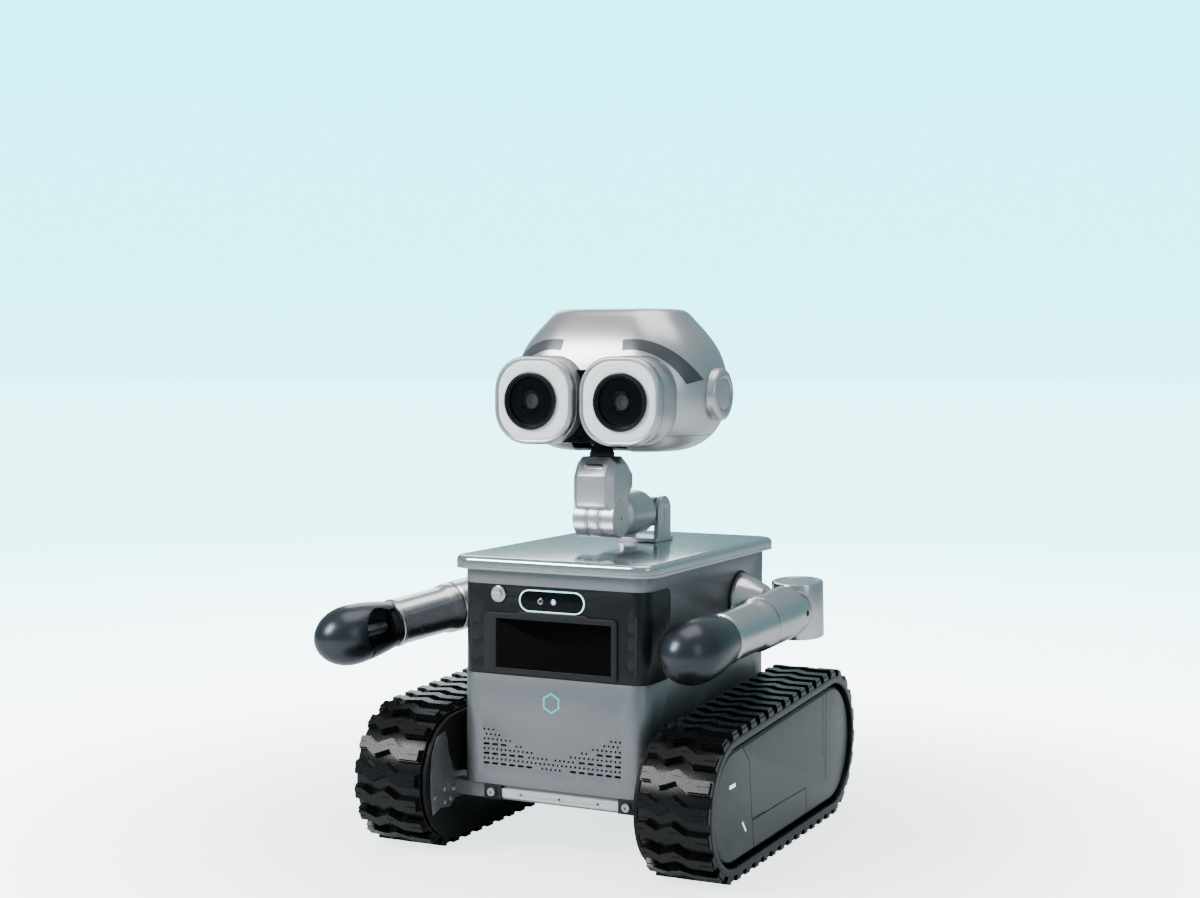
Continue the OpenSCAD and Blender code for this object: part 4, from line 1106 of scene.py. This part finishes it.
@dataclass
class Neck:
    """The neck: clevis, drum, knuckle, bevelled link and black swivel.

    Attributes:
        chamfer: Width of the link's bevels.
        boss: Height of the barrel's ends over the link's sides.
        split_x: Distance of the barrel's parting lines from the middle.
    """

    chamfer: float = 10 * MM
    boss: float = 0.5 * MM
    split_x: float = 12.5 * MM

    def clevis(self) -> None:
        """The ears on the lid, the drum between them and the split knuckle."""
        rounded("neck_clevis", "clevis_ears", Finishes.silver, "chassis", 1.2 * MM, 3)
        rounded("neck_drum", "drum", Finishes.silver, "neck_drum", 1.6 * MM, 3)
        rounded("neck_knuckle", "knuckle", Finishes.silver, "neck_knuckle", 0.8 * MM)

    def link(self) -> None:
        """The link: a block with broad bevels, side bosses, a split barrel below and a small inlay above."""
        low, high = corners("neck_link")
        pin = middle("neck_upper_pin")
        wide, radius = high.x - low.x, pin.z - low.z
        block = Bench.outline([(-97, 446), (-101, 463), (-101, 497), (-86, 522), (-48, 522), (-32, 508),
                               (-32, 480), (-46, 466), (-46, 446)], low.x + self.boss, wide - 2 * self.boss)
        Bench.pick_faces(block, lambda c, n: abs(n.x) < 0.1 and (c.y < -0.086 or c.z > 0.51))
        bpy.ops.mesh.select_mode(type="EDGE")
        bpy.ops.mesh.region_to_loop()
        bpy.ops.mesh.bevel(offset=self.chamfer, segments=1, affect="EDGES")
        Bench.close()
        Bench.bevel(block, 0.5 * MM, 2, 20)
        barrel = Bench.turn([*path((2, 0), (2, 2.4), (0, 2.4)), *path((0, -1.4), (1.4, 0), around=radius),
                             (wide - 1.4 * MM, radius), (wide, radius - 1.4 * MM),
                             *path((0, 2.4), (-2, 2.4), (-2, 0), along=wide)], Vector((low.x, pin.y, pin.z)),
                            X, 72)
        heel = Bench.box(Vector((0, pin.y - 2 * MM, pin.z + 14 * MM)),
                         Vector((wide - 4 * self.boss, 38 * MM, 26 * MM)))
        split = 10.4 * MM
        for x in (-self.split_x, self.split_x):
            groove = Bench.turn(path((-0.6, -1.2), (0.6, -1.2), (0.6, 2), (-0.6, 2), (-0.6, -1.2),
                                     around=radius), Vector((x, pin.y, pin.z)), X, 64)
            Bench.cut(barrel, groove)
        for piece in (barrel, heel, block):
            core = Bench.turn([(-split, 0), (-split, radius + 0.8 * MM), (split, radius + 0.8 * MM),
                               (split, 0)], pin, X, 64)
            throat = Bench.box(Vector((0, pin.y + 20 * MM, pin.z - 10 * MM)),
                               Vector((2 * split, 40 * MM, 40 * MM)))
            Bench.cut(piece, core)
            Bench.cut(piece, throat)
        place(Bench.join([block, heel]), "link_block", Finishes.silver, "neck_link", ["neck_link"], angle=25)
        place(barrel, "link_barrel", Finishes.silver, "neck_link", angle=40)
        way = Vector((0, -25, 15)).normalized()
        spot = Vector((0, -93.5 * MM, 509.5 * MM))
        inlay = Bench.slab(spot, 28 * MM, 8 * MM, 1 * MM, 0.9 * MM, -Y, 0.3 * MM, 2)
        Bench.focus(inlay)
        bpy.ops.object.origin_set(type="ORIGIN_GEOMETRY")
        inlay.rotation_euler = (-math.atan2(way.z, -way.y), 0, 0)
        inlay.location += way * 0.1 * MM
        Bench.freeze()
        place(inlay, "link_inlay", Finishes.lid, "neck_link")

    def swivel(self) -> None:
        """The black swivel under the head."""
        rounded("neck_swivel", "swivel_joint", Finishes.swivel, "neck_swivel", 1.0 * MM, 3)

    def build(self) -> None:
        """Builds every piece of the neck."""
        self.clevis()
        self.link()
        self.swivel()


# ---------------------------------------------------------------- head


@dataclass
class Head:
    """The head: dome, pan, eye pods, lenses, brow strips and ear caps.

    Attributes:
        sections: Height, half width and half depth of the dome, from its underside up.
        middle_y: Place of the dome's middle along Y.
        wall: Thickness of the dome.
        pod_rim: Width of the silver rim round each eye's white face.
        brow: Inner and outer radius of the brow strips about the point above each eye.
        brow_ends: Angles from below at which the brow strips end, in degrees.
    """

    sections: tuple[tuple[float, float, float], ...] = ((528, 84, 58), (534, 104, 70), (545, 122, 82),
                                                        (560, 135, 92), (580, 144, 100), (605, 148, 105),
                                                        (632, 146.5, 104), (656, 140.5, 100), (676, 130, 93),
                                                        (694, 115.5, 83), (707, 103, 74), (716, 95.5, 67),
                                                        (721, 90, 60), (723.6, 83, 51))
    middle_y: float = -5 * MM
    wall: float = 3 * MM
    pod_rim: float = 4.6 * MM
    brow: tuple[float, float] = (77 * MM, 91.5 * MM)
    brow_ends: tuple[float, float] = (24, 99)

    def solid(self, grow: float = 0.0) -> Piece:
        """The dome and pan as one closed smooth body.

        Args:
            grow: Distance by which every section stands further out.

        Returns:
            The new piece.
        """
        height, half_w, half_d = (MM * v for v in self.sections[0])
        centre = Vector((0, self.middle_y, height))
        piece = Bench.plate(centre, 2 * (half_w + grow), 2 * (half_d + grow), 0.86 * (half_d + grow), 9, Z)
        last = (half_w + grow, half_d + grow)
        for height_mm, half_w, half_d in self.sections[1:]:
            now = (half_w * MM + grow, half_d * MM + grow)
            rise = height_mm * MM - height
            height = height_mm * MM
            Bench.pull(Z * rise, (now[0] / last[0], now[1] / last[1], 1), Vector((0, self.middle_y, height)))
            last = now
        if grow:
            bpy.ops.transform.translate(value=(0, 0, grow))
        Bench.freeze()
        for cap in (1, -1):
            Bench.pick_faces(piece, lambda c, n, cap=cap: n.z * cap > 0.999)
            bpy.ops.mesh.inset(thickness=16 * MM)
            Bench.close()
        Bench.apply(piece, "SUBSURF", levels=1, render_levels=1)
        Bench.settle(piece, "dome", 60)
        return piece

    def pod_block(self, side: Side, grow: float = 0.0) -> Piece:
        """A plain block with the outline of one eye pod, for cutting."""
        centre, size = self.pod(side)
        return Bench.slab(centre - Y * 5 * MM, size.x + 2 * grow, size.z + 2 * grow, 47 * MM + grow,
                          size.y + 5 * MM, -Y, 0.0, 16)

    @staticmethod
    def pod(side: Side) -> tuple[Vector, Vector]:
        """Middle of a pod's front face, and its size."""
        low, high = corners("eye_pods")
        width = 117 * MM
        x = side.value * (high.x - width / 2)
        return Vector((x, low.y, (low.z + high.z) / 2)), Vector((width, high.y - low.y, high.z - low.z))

    def shells(self) -> None:
        """The dome and the pan, parted by a fine seam and cut out for the pods."""
        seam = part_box("head_dome")[0][2]
        whole = self.solid()
        hollow = Bench.copy(whole, "hollow")
        Bench.edit(hollow, "VERT")
        Bench.all()
        bpy.ops.transform.shrink_fatten(value=-self.wall)
        Bench.close()
        Bench.cut(whole, hollow)
        for side in Side:
            Bench.cut(whole, self.pod_block(side, 0.8 * MM))
        pan = Bench.copy(whole, "pan")
        half = Vector((400, 400, 400)) * MM
        Bench.cut(whole, Bench.box(Vector((0, 0, seam - half.z / 2)), half))
        Bench.cut(pan, Bench.box(Vector((0, 0, seam - 0.5 * MM + half.z / 2)), half))
        throat = middle("neck_swivel")
        hole = Bench.turn(path((-60, 0), (-60, 42), (20, 42), (20, 0)), Vector((0, throat.y, throat.z)), Z,
                          48)
        Bench.cut(pan, hole)
        place(whole, "head_shell", Finishes.head, "head", ["head_dome"], angle=30)
        place(pan, "head_underside", Finishes.head, "head", ["head_pan"], angle=30)

    def brows(self) -> None:
        """Two dark strips let into the dome over the eyes."""
        for side in Side:
            strip = self.solid(0.6 * MM)
            inner, outer = self.brow
            centre = Vector((side.value * 58 * MM, 0, 590 * MM))
            ring = Bench.turn([(0, inner), (200 * MM, inner), (200 * MM, outer), (0, outer), (0, inner)],
                              centre, -Y, 96)
            Bench.cut(strip, ring, "INTERSECT")
            reach = 300 * MM
            for angle, sense in zip(self.brow_ends, (1, -1)):
                way = math.radians(angle)
                normal = Vector((side.value * math.sin(way), 0, -math.cos(way))) * sense
                Bench.cut(strip, Bench.box(centre + normal * reach / 2, (reach, 3 * reach, 3 * reach),
                                           (0, -side.value * (way - math.pi / 2), 0)))
            Bench.cut(strip, self.solid())
            place(strip, f"{side.word}_brow_strip", Finishes.brow, "head")

    def pods(self) -> None:
        """The eye pods: silver housings with a groove, and a crowned white face inside each rim."""
        for side in Side:
            centre, size = self.pod(side)
            back = centre + Y * size.y
            shell = Bench.plate(back, size.x, size.z, 46.9 * MM, 16, -Y)
            neck = (1 - 5 * MM / size.x, 1, 1 - 5 * MM / size.z)
            wide = tuple(1 / v for v in neck)
            groove = size.y - 15.6 * MM
            Bench.pull(-Y * groove)
            Bench.pull(-Y * 0.2 * MM, neck, centre)
            Bench.pull(-Y * 2.2 * MM)
            Bench.pull(-Y * 0.2 * MM, wide, centre)
            Bench.pull(-Y * 10 * MM)
            Bench.pull(-Y * 3 * MM, (1 - 4 * MM / size.x, 1, 1 - 4 * MM / size.z), centre)
            bpy.ops.mesh.inset(thickness=self.pod_rim - 2 * MM)
            Bench.pull(Y * 3 * MM)
            Bench.close()
            Bench.cut(shell, self.bore(side))
            Bench.bevel(shell, 0.7 * MM, 2, 50)
            place(shell, f"{side.word}_eye_housing", Finishes.head, "head", ["eye_pods"])
            inner = self.pod_rim + 1.5 * MM
            face_at = centre + Y * 3 * MM
            face = Bench.plate(face_at, size.x - 2 * inner, size.z - 2 * inner, 41 * MM, 16, -Y)
            Bench.all()
            Bench.pull(-Y * 0.8 * MM)
            for depth, thick in ((0.7, 1.2), (0.35, 3), (0.2, 6)):
                bpy.ops.mesh.inset(thickness=thick * MM, depth=depth * MM)
            Bench.close()
            Bench.cut(face, self.bore(side))
            place(face, f"{side.word}_eye_face", Finishes.eye, "head", angle=50)

    @staticmethod
    def eye(side: Side) -> tuple[Vector, float]:
        """Middle of a lens ring's front, and its radius."""
        low, high = corners("lens_rings")
        radius = (high.z - low.z) / 2
        return Vector((side.value * (high.x - radius), low.y, (low.z + high.z) / 2)), radius

    def bore(self, side: Side) -> Piece:
        """A cutter for the hole in a pod behind its lens."""
        eye, radius = self.eye(side)
        deep, wide = -24 * MM, radius - 3.4 * MM
        return Bench.turn([(deep, 0), (deep, wide), (10 * MM, wide), (10 * MM, 0)], eye, -Y, 72)

    def lenses(self) -> None:
        """Each eye's black ring, dark glass with its round opening, backing and small camera."""
        for side in Side:
            eye, radius = self.eye(side)
            ring = Bench.turn(path((-17, -4), (-4, -4), (-4, -0.5), (-1.5, 0), (-0.4, -0.8), (0, -2),
                                   (-0.4, -4.2), (-2.2, -5.2), (-2.2, -6.4), (-3.2, -7), (-17, -7),
                                   (-17, -4), around=radius), eye, -Y, 96)
            place(ring, f"{side.word}_lens_ring", Finishes.lens, "head", ["lens_rings"])
            glass = Bench.turn([*path((-7.6, 10.4)), *path((-7.6, -7.2), (-6, -7.2), around=radius),
                                *path((-5.4, 24), (-5.2, 17), (-5.9, 16.4), (-5.9, 15.6), (-5.2, 15),
                                      (-5.6, 11), (-6.2, 10.4), (-7.6, 10.4))], eye, -Y, 96)
            place(glass, f"{side.word}_eye_glass", Finishes.glass, "head", ["lens_glasses"])
            iris = Bench.turn([(-14 * MM, 0), *path((-14, -7.3), (-11, -7.3), around=radius),
                               *path((-12.5, 24), (-12.5, 20), (-11.6, 19.5), (-12.5, 19), (-12.5, 0))], eye,
                              -Y, 64)
            place(iris, f"{side.word}_iris", Finishes.iris, "head")
            barrel = Bench.turn(path((-12.8, 12), (-9, 12), (-8.5, 11.4), (-8.5, 9.4), (-9.6, 8.6),
                                     (-9.6, 6.2), (-10.6, 5.6), (-10.6, 4.2), (-11.6, 3.6), (-11.6, 0)), eye,
                                -Y, 48)
            place(barrel, f"{side.word}_camera", Finishes.camera, "head", ["eye_cameras"])

    def ears(self) -> None:
        """The round caps on the sides."""
        low, high = corners("ear_caps")
        radius = (high.z - low.z) / 2
        for side in Side:
            outer = Vector((side.value * high.x, (low.y + high.y) / 2, (low.z + high.z) / 2))
            cap = Bench.turn([(-24 * MM, 0), *path((-24, -1), (-14, -1), (-13, 0), (-6, -0.6), (-2.4, -2.5),
                                                   (-0.6, -6), (0, -9), around=radius),
                              *path((-0.3, 24), (-1.2, 22.8), (-3, 22.4), (-3, 21.2), (-1.6, 20.6), (-1, 18),
                                    (-0.8, 0))], outer, X * side.value, 72)
            place(cap, f"{side.word}_ear_cap", Finishes.head, "head", ["ear_caps"])

    def front_panel(self) -> None:
        """The dark glossy panel between and under the eyes."""
        rounded("front_panel", "front_visor", Finishes.window, "head", 0.8 * MM)

    def build(self) -> None:
        """Builds every piece of the head."""
        self.shells()
        self.brows()
        self.pods()
        self.lenses()
        self.ears()
        self.front_panel()


# ---------------------------------------------------------------- arms


@dataclass
class Arm:
    """One arm, from its shoulder cone to its hand.

    Attributes:
        side: The side it is on.
        tube: Radius of the rear tube.
        wrist: Radius of the front tube.
        seam: Distance of the turning seam from the elbow.
        cuff: Distance of the cuff from the elbow.
        hand: Distance of the hand's rear edge from the elbow.
        widest: Distance of the hand's widest place from the elbow.
        hand_radius: Radius there.
        tip: Distance of the hand's tip from the elbow.
    """

    side: Side
    tube: float = 36.5 * MM
    wrist: float = 33 * MM
    seam: float = 125 * MM
    cuff: float = 228 * MM
    hand: float = 236 * MM
    widest: float = 304 * MM
    hand_radius: float = 42 * MM
    tip: float = 358 * MM

    def __post_init__(self) -> None:
        """Reads the arm's axes from the record's joints."""
        word = self.side.word
        elbow, roll = joint(f"{word}_elbow"), joint(f"{word}_wrist_roll")
        self.elbow = Vector(elbow["pos_m"])
        self.along = Vector(roll["axis"]).normalized()
        self.up = Vector(elbow["axis"]).normalized() * self.side.value
        self.out = self.along.cross(self.up) * -1
        if self.out.x * self.side.value < 0:
            self.out = -self.out
        self.shoulder = Vector(joint(f"{word}_shoulder")["pos_m"])

    def at(self, out: float, along: float, up: float) -> Vector:
        """A point in the forearm's own directions, from the elbow."""
        return self.elbow + self.out * out + self.along * along + self.up * up

    def block(self, centre: Sequence[float], size: Sequence[float]) -> Piece:
        """A box lined up with the forearm: its centre and size are outwards, along and up, in millimetres."""
        turn = Matrix((self.out, self.along, self.up)).transposed()
        if turn.determinant() < 0:
            turn = Matrix((-self.out, self.along, self.up)).transposed()
        return Bench.box(self.at(*(v * MM for v in centre)), [v * MM for v in size], turn.to_euler())

    def upper_arm(self) -> None:
        """The shoulder's cone with its neck, and the dark ring round it."""
        word = self.side.word
        rounded(f"{word}_shoulder_arm", f"{word}_shoulder_cone", Finishes.arm, f"{word}_upper_arm", 1.2 * MM,
                3)
        wall = span("body_shell").x / 2
        seat = Vector((self.side.value * wall, self.shoulder.y, self.shoulder.z))
        ring = Bench.turn(path((-2, 40.6), (-2, 46), (0.6, 46.4), (1.1, 45.8), (1.1, 45), (0.4, 44.6),
                               (0.4, 40.6), (-2, 40.6)), seat, X * self.side.value, 72)
        place(ring, f"{word}_shoulder_ring", Finishes.surround, "chassis")

    def forearm(self) -> None:
        """The upright elbow block with its slot, and the rear tube with its round end."""
        word, body = self.side.word, f"{self.side.word}_forearm"
        low, high = -41 * MM, 37 * MM
        radius, edge = 36 * MM, 1.8 * MM
        block = Bench.turn([(low, 0), (low, radius - edge), (low + edge * 0.3, radius - edge * 0.3),
                            (low + edge, radius), (high - edge, radius),
                            (high - edge * 0.3, radius - edge * 0.3), (high, radius - edge),
                            *path((0, 30), (-0.5, 29.5), (-0.5, 0), along=high)], self.elbow, self.up, 72)
        slot = 7.9 * MM
        Bench.cut(block, Bench.turn([(-slot, 0), (-slot, 29.4 * MM), (slot, 29.4 * MM), (slot, 0)],
                                    self.elbow, self.up, 48))
        Bench.cut(block, self.block((-23, -23, 0), (74, 90, 2 * slot / MM)))
        Bench.cut(block, self.block((-46, -9, 0), (28, 60, 36)))
        place(block, f"{word}_elbow_block", Finishes.arm, body, [f"{word}_forearm"])
        r = self.tube
        tube = Bench.turn([*path((32, 0), (26, 24), (20, 29), (21, 31.4), (24, 33.2), (29, 34.8),
                                 (36, 35.9)), (45 * MM, r), *path((-3.4, 0), (-3, -0.5), (-2.4, -0.5),
                                                                  (-2, 0), (-0.6, 0), (0, -0.8),
                                                                  along=self.seam, around=r),
                           (self.seam, 12.1 * MM), *path((110, 12.1), (110, 0))], self.elbow, self.along, 80)
        Bench.cut(tube, self.block((0, 0, 0), (60, 44, 2 * slot / MM)))
        recess = self.at(r - 2 * MM, 44 * MM, 2 * MM)
        Bench.cut(tube, Bench.turn(path((0, 0), (0, 4.6), (6, 4.6), (6, 0)), recess, self.out, 32))
        place(tube, f"{word}_rear_tube", Finishes.arm, body)
        head = screw(recess, self.out, 3.8 * MM, 1.4 * MM)
        place(head, f"{word}_tube_screw", Finishes.bracket, body)
        dot = Bench.turn(path((-1, 0), (-1, 1.4), (1.8, 1.4), (2.1, 1), (2.1, 0)),
                         self.at(r - 2 * MM, 60 * MM, 0), self.out, 20)
        place(dot, f"{word}_tube_dot", Finishes.eye, body)

    def wrist_tube(self) -> None:
        """The turning front tube with its flared collar and double cuff."""
        s, w, c, r = self.seam, self.wrist, self.cuff, self.tube
        tube = Bench.turn([*path((-7, 0), (-7, 12), (1, 12), along=s),
                           *path((1, -2.6), (2.6, -2.6), (2.6, -0.8), (3.4, 0), (9, 0), (13, -0.5), along=s,
                                 around=r), *path((21, 0.6), (26, 0), along=s, around=w),
                           *path((-3, 0), (-2.6, -0.6), (-1.8, -0.6), (-1.4, 0.8), (-0.8, 1.4), (1.4, 1.4),
                                 (1.8, 0.6), (2.4, 0.6), (2.8, 1.4), (4.4, 1), (5, 0), along=c, around=w),
                           (self.hand - 1 * MM, w), (self.hand - 1 * MM, 26 * MM),
                           *path((-40, 26), (-40, 0), along=c)], self.elbow, self.along, 80)
        place(tube, f"{self.side.word}_front_tube", Finishes.arm, f"{self.side.word}_wrist",
              [f"{self.side.word}_wrist_tube"])

    def egg(self, inset: float, start: float, back: bool) -> list[tuple[float, float]]:
        """The hand's profile, drawn in by an inset.

        Args:
            inset: Distance inside the outer surface.
            start: Distance of the first point from the elbow.
            back: Whether the list runs from the tip to the rear.

        Returns:
            Pairs of distance and radius.
        """
        reach = self.tip - inset - self.widest
        points = []
        for i in range(9):
            along = start + (self.widest - start) * i / 9
            share = (along - self.hand) / (self.widest - self.hand)
            swell = (self.hand_radius - self.wrist) * math.sin(share * math.pi / 2)
            points.append((along, self.wrist + swell - inset))
        for i in range(19):
            angle = math.radians(5 * i)
            points.append((self.widest + reach * math.sin(angle),
                           (self.hand_radius - inset) * math.cos(angle)))
        points[-1] = (self.tip - inset, 0.0)
        return points[::-1] if back else points

    def hand_pieces(self) -> None:
        """The hollow hand shell with its mouth, its lining and finger plate, and the thumb."""
        word, body = self.side.word, f"{self.side.word}_wrist"
        wall = 2.6 * MM
        shell = Bench.turn([*self.egg(0, self.hand, False), *self.egg(wall, self.hand + 3 * MM, True),
                            *path((3, 0), (0, 0), along=self.hand), (self.hand, self.wrist)], self.elbow,
                           self.along, 80)
        thumb = Bench.turn([*self.egg(0.1 * MM, self.hand, False),
                            *self.egg(wall + 1.5 * MM, self.hand + 3 * MM, True), (self.hand, self.wrist)],
                           self.elbow, self.along, 80)
        mouth = Bench.turn(path((2, 0), (2, 26), (60, 34), (60, 0)), self.at(0, 270 * MM, 6 * MM), -self.out,
                           56)
        Bench.cut(shell, mouth)
        Bench.cut(shell, self.block((-32, 256, 8), (56, 34, 40)))
        Bench.cut(shell, self.block((-31, 265, -36), (60, 52, 46)))
        Bench.bevel(shell, 0.5 * MM, 2, 50)
        place(shell, f"{word}_finger_shell", Finishes.hand, body, [f"{word}_hand_shell"], angle=30)
        Bench.cut(thumb, self.block((-33, 265, -37), (56, 47, 46)), "INTERSECT")
        Bench.bevel(thumb, 0.5 * MM, 2, 50)
        place(thumb, f"{word}_thumb_pad", Finishes.hand, f"{word}_thumb", [f"{word}_thumb"], angle=30)
        lining = Bench.turn(path((3, 0), (3, 29), (9, 27), (9, 0), along=self.hand), self.elbow, self.along,
                            48)
        lever = self.block((-2, 258, -14), (7, 34, 9))
        Bench.bevel(lever, 1.5 * MM, 2)
        place(Bench.join([lining, lever]), f"{word}_palm", Finishes.hand_inner, body)
        wedge = self.block((-4, 268, 2), (26, 44, 16))
        Bench.bevel(wedge, 6 * MM, 1)
        place(wedge, f"{word}_finger_wedge", Finishes.wedge, body)

    def build(self) -> None:
        """Builds every piece of the arm."""
        self.upper_arm()
        self.forearm()
        self.wrist_tube()
        self.hand_pieces()


# ---------------------------------------------------------------- studio


@dataclass
class Studio:
    """The pale floor, the soft lights, the pale surroundings and the camera.

    Attributes:
        eye: Place of the camera.
        azimuth: Its direction round the robot, in degrees.
        elevation: Its height angle, in degrees.
        roll: Its tilt, in degrees.
        lens: Focal length in millimetres on a 36 mm sensor.
        sky_tones: Colours of the sky that lights the robot, from the horizon up.
        sky_power: Its strength.
        backdrop_tones: Colours of the visible backdrop, from the horizon up.
        backdrop_power: Its strength.
        floor_radius: Radius of the floor.
        floor_tones: Colours of the floor's own brightness, from the robot out; the darker tones near the
            robot are a painted shadow under it.
        floor_glow: Strength of the floor's own brightness.
    """

    eye: tuple[float, float, float] = (1.0880, -2.3293, 0.6533)
    azimuth: float = 25.74
    elevation: float = 2.77
    roll: float = 0.26
    lens: float = 55.30
    sky_tones: tuple = ((0.0, (0.46, 0.78, 0.84)), (0.25, (0.42, 0.74, 0.82)), (0.5, (0.70, 0.90, 0.95)),
                        (1.0, (1.0, 1.0, 1.0)))
    sky_power: float = 0.62
    backdrop_tones: tuple = ((0.0, (0.22, 0.86, 0.93)), (0.06, (0.09, 0.86, 0.96)), (0.2, (0.02, 0.84, 1.0)),
                             (1.0, (0.02, 0.8, 0.98)))
    backdrop_power: float = 6.5
    floor_radius: float = 60.0
    # The two darkest tones, nearest the robot, are a painted shadow under it.
    floor_tones: tuple = ((0.0, (0.30, 0.33, 0.34)), (0.0075, (0.34, 0.37, 0.38)), (0.02, (0.90, 0.98, 1.0)),
                          (0.032, (0.66, 0.94, 0.98)), (0.07, (0.3, 0.87, 0.94)), (1.0, (0.12, 0.86, 0.94)))
    floor_glow: float = 7.0

    def camera(self) -> None:
        """The camera at the product view's angle."""
        data = bpy.data.cameras.new("camera")
        data.lens = self.lens
        data.sensor_width = 36
        data.sensor_fit = "HORIZONTAL"
        data.clip_end = 100
        camera = bpy.data.objects.new("camera", data)
        bpy.context.collection.objects.link(camera)
        turn = Euler((math.radians(90 - self.elevation), 0, math.radians(self.azimuth))).to_matrix().to_4x4()
        camera.matrix_world = (Matrix.Translation(self.eye) @ turn
                               @ Matrix.Rotation(math.radians(self.roll), 4, "Z"))
        bpy.context.scene.camera = camera

    def surroundings(self) -> None:
        """A pale cyan backdrop that fades to white at the floor, and a softer sky that lights the robot."""
        world = bpy.data.worlds.new("studio_air")
        bpy.context.scene.world = world
        world.use_nodes = True
        web, nodes = Web(world.node_tree), world.node_tree.nodes
        split = web.add("SeparateXYZ", {0: web.add("TexCoord").outputs["Generated"]})
        sky, backdrop = (web.ramp(tones, split.outputs["Z"]) for tones in (self.sky_tones,
                                                                           self.backdrop_tones))
        seen = web.add("Background", {"Strength": self.backdrop_power, "Color": backdrop})
        web.feed(nodes["Background"], {"Strength": self.sky_power, "Color": sky})
        ray = web.add("LightPath")
        mix = web.add("MixShader", {0: ray.outputs["Is Camera Ray"], 1: nodes["Background"].outputs[0],
                                    2: seen.outputs[0]})
        web.feed(nodes["World Output"], {"Surface": mix.outputs[0]})

    def floor(self) -> None:
        """A broad pale floor that looks brighter than it lights, with its glow darkened round the robot as a
        painted shadow.
        """
        Bench.clear()
        bpy.ops.mesh.primitive_circle_add(vertices=96, radius=self.floor_radius, fill_type="NGON",
                                          location=(0, 0, 0))
        floor = bpy.context.object
        floor.name = "studio_floor"
        pale = Finish("studio_floor", (0.86, 0.89, 0.90), (0.85, 0.885, 0.895), 0, 0.8, 0.03, 300, 0.6,
                      bump=0.0)
        made = pale.material()
        web = Web(made.node_tree)
        away = web.add("VectorMath", {0: web.add("TexCoord").outputs["Object"]}, operation="LENGTH")
        share = web.add("Math", {0: away.outputs["Value"], 1: self.floor_radius}, operation="DIVIDE")
        ray = web.add("LightPath")
        power = web.add("Math", {0: ray.outputs["Is Camera Ray"], 1: self.floor_glow}, operation="MULTIPLY")
        # The ramp darkens the floor's glow near the robot: a painted shadow.
        web.feed(made.node_tree.nodes["Principled BSDF"], {"Emission Color": web.ramp(self.floor_tones,
                                                                                      share.outputs[0]),
                                                           "Emission Strength": power.outputs[0]})
        floor.data.materials.append(made)

    def light(self, name: str, spot: Vector, size: tuple[float, float], power: float,
              tone: tuple[float, float, float]) -> None:
        """A large soft box that looks at the robot's middle.

        Args:
            name: The lamp's name.
            spot: Its place.
            size: Its width and height.
            power: Its power in watts.
            tone: Its colour.
        """
        data = bpy.data.lights.new(name, "AREA")
        data.shape = "RECTANGLE"
        data.size, data.size_y = size
        data.energy = power
        data.color = tone
        lamp = bpy.data.objects.new(name, data)
        bpy.context.collection.objects.link(lamp)
        lamp.location = spot
        lamp.rotation_euler = (Vector((0, 0, 0.35)) - spot).to_track_quat("-Z", "Y").to_euler()

    def build(self) -> None:
        """Sets up the studio."""
        self.camera()
        self.surroundings()
        self.floor()
        self.light("key", Vector((-1.5, -2.3, 2.2)), (1.1, 1.4), 125, (1.0, 0.99, 1.0))
        self.light("fill", Vector((2.8, -1.4, 1.5)), (1.0, 1.8), 10, (0.92, 0.98, 1.0))
        self.light("top", Vector((0.2, 0.3, 3.2)), (2.2, 2.2), 52, (1.0, 1.0, 1.0))
        self.light("rim", Vector((-1.6, 2.6, 1.8)), (1.4, 1.6), 30, (0.9, 1.0, 1.0))


def main() -> None:
    """Builds the robot and its studio, one sub-assembly at a time."""
    logging.basicConfig(level=logging.INFO, format="%(name)s: %(message)s")
    Studio().build()
    Body().build()
    for side in Side:
        Track(side).build()
    Neck().build()
    Head().build()
    for side in Side:
        Arm(side).build()
    Bench.clear()


if __name__ == "__main__":
    main()
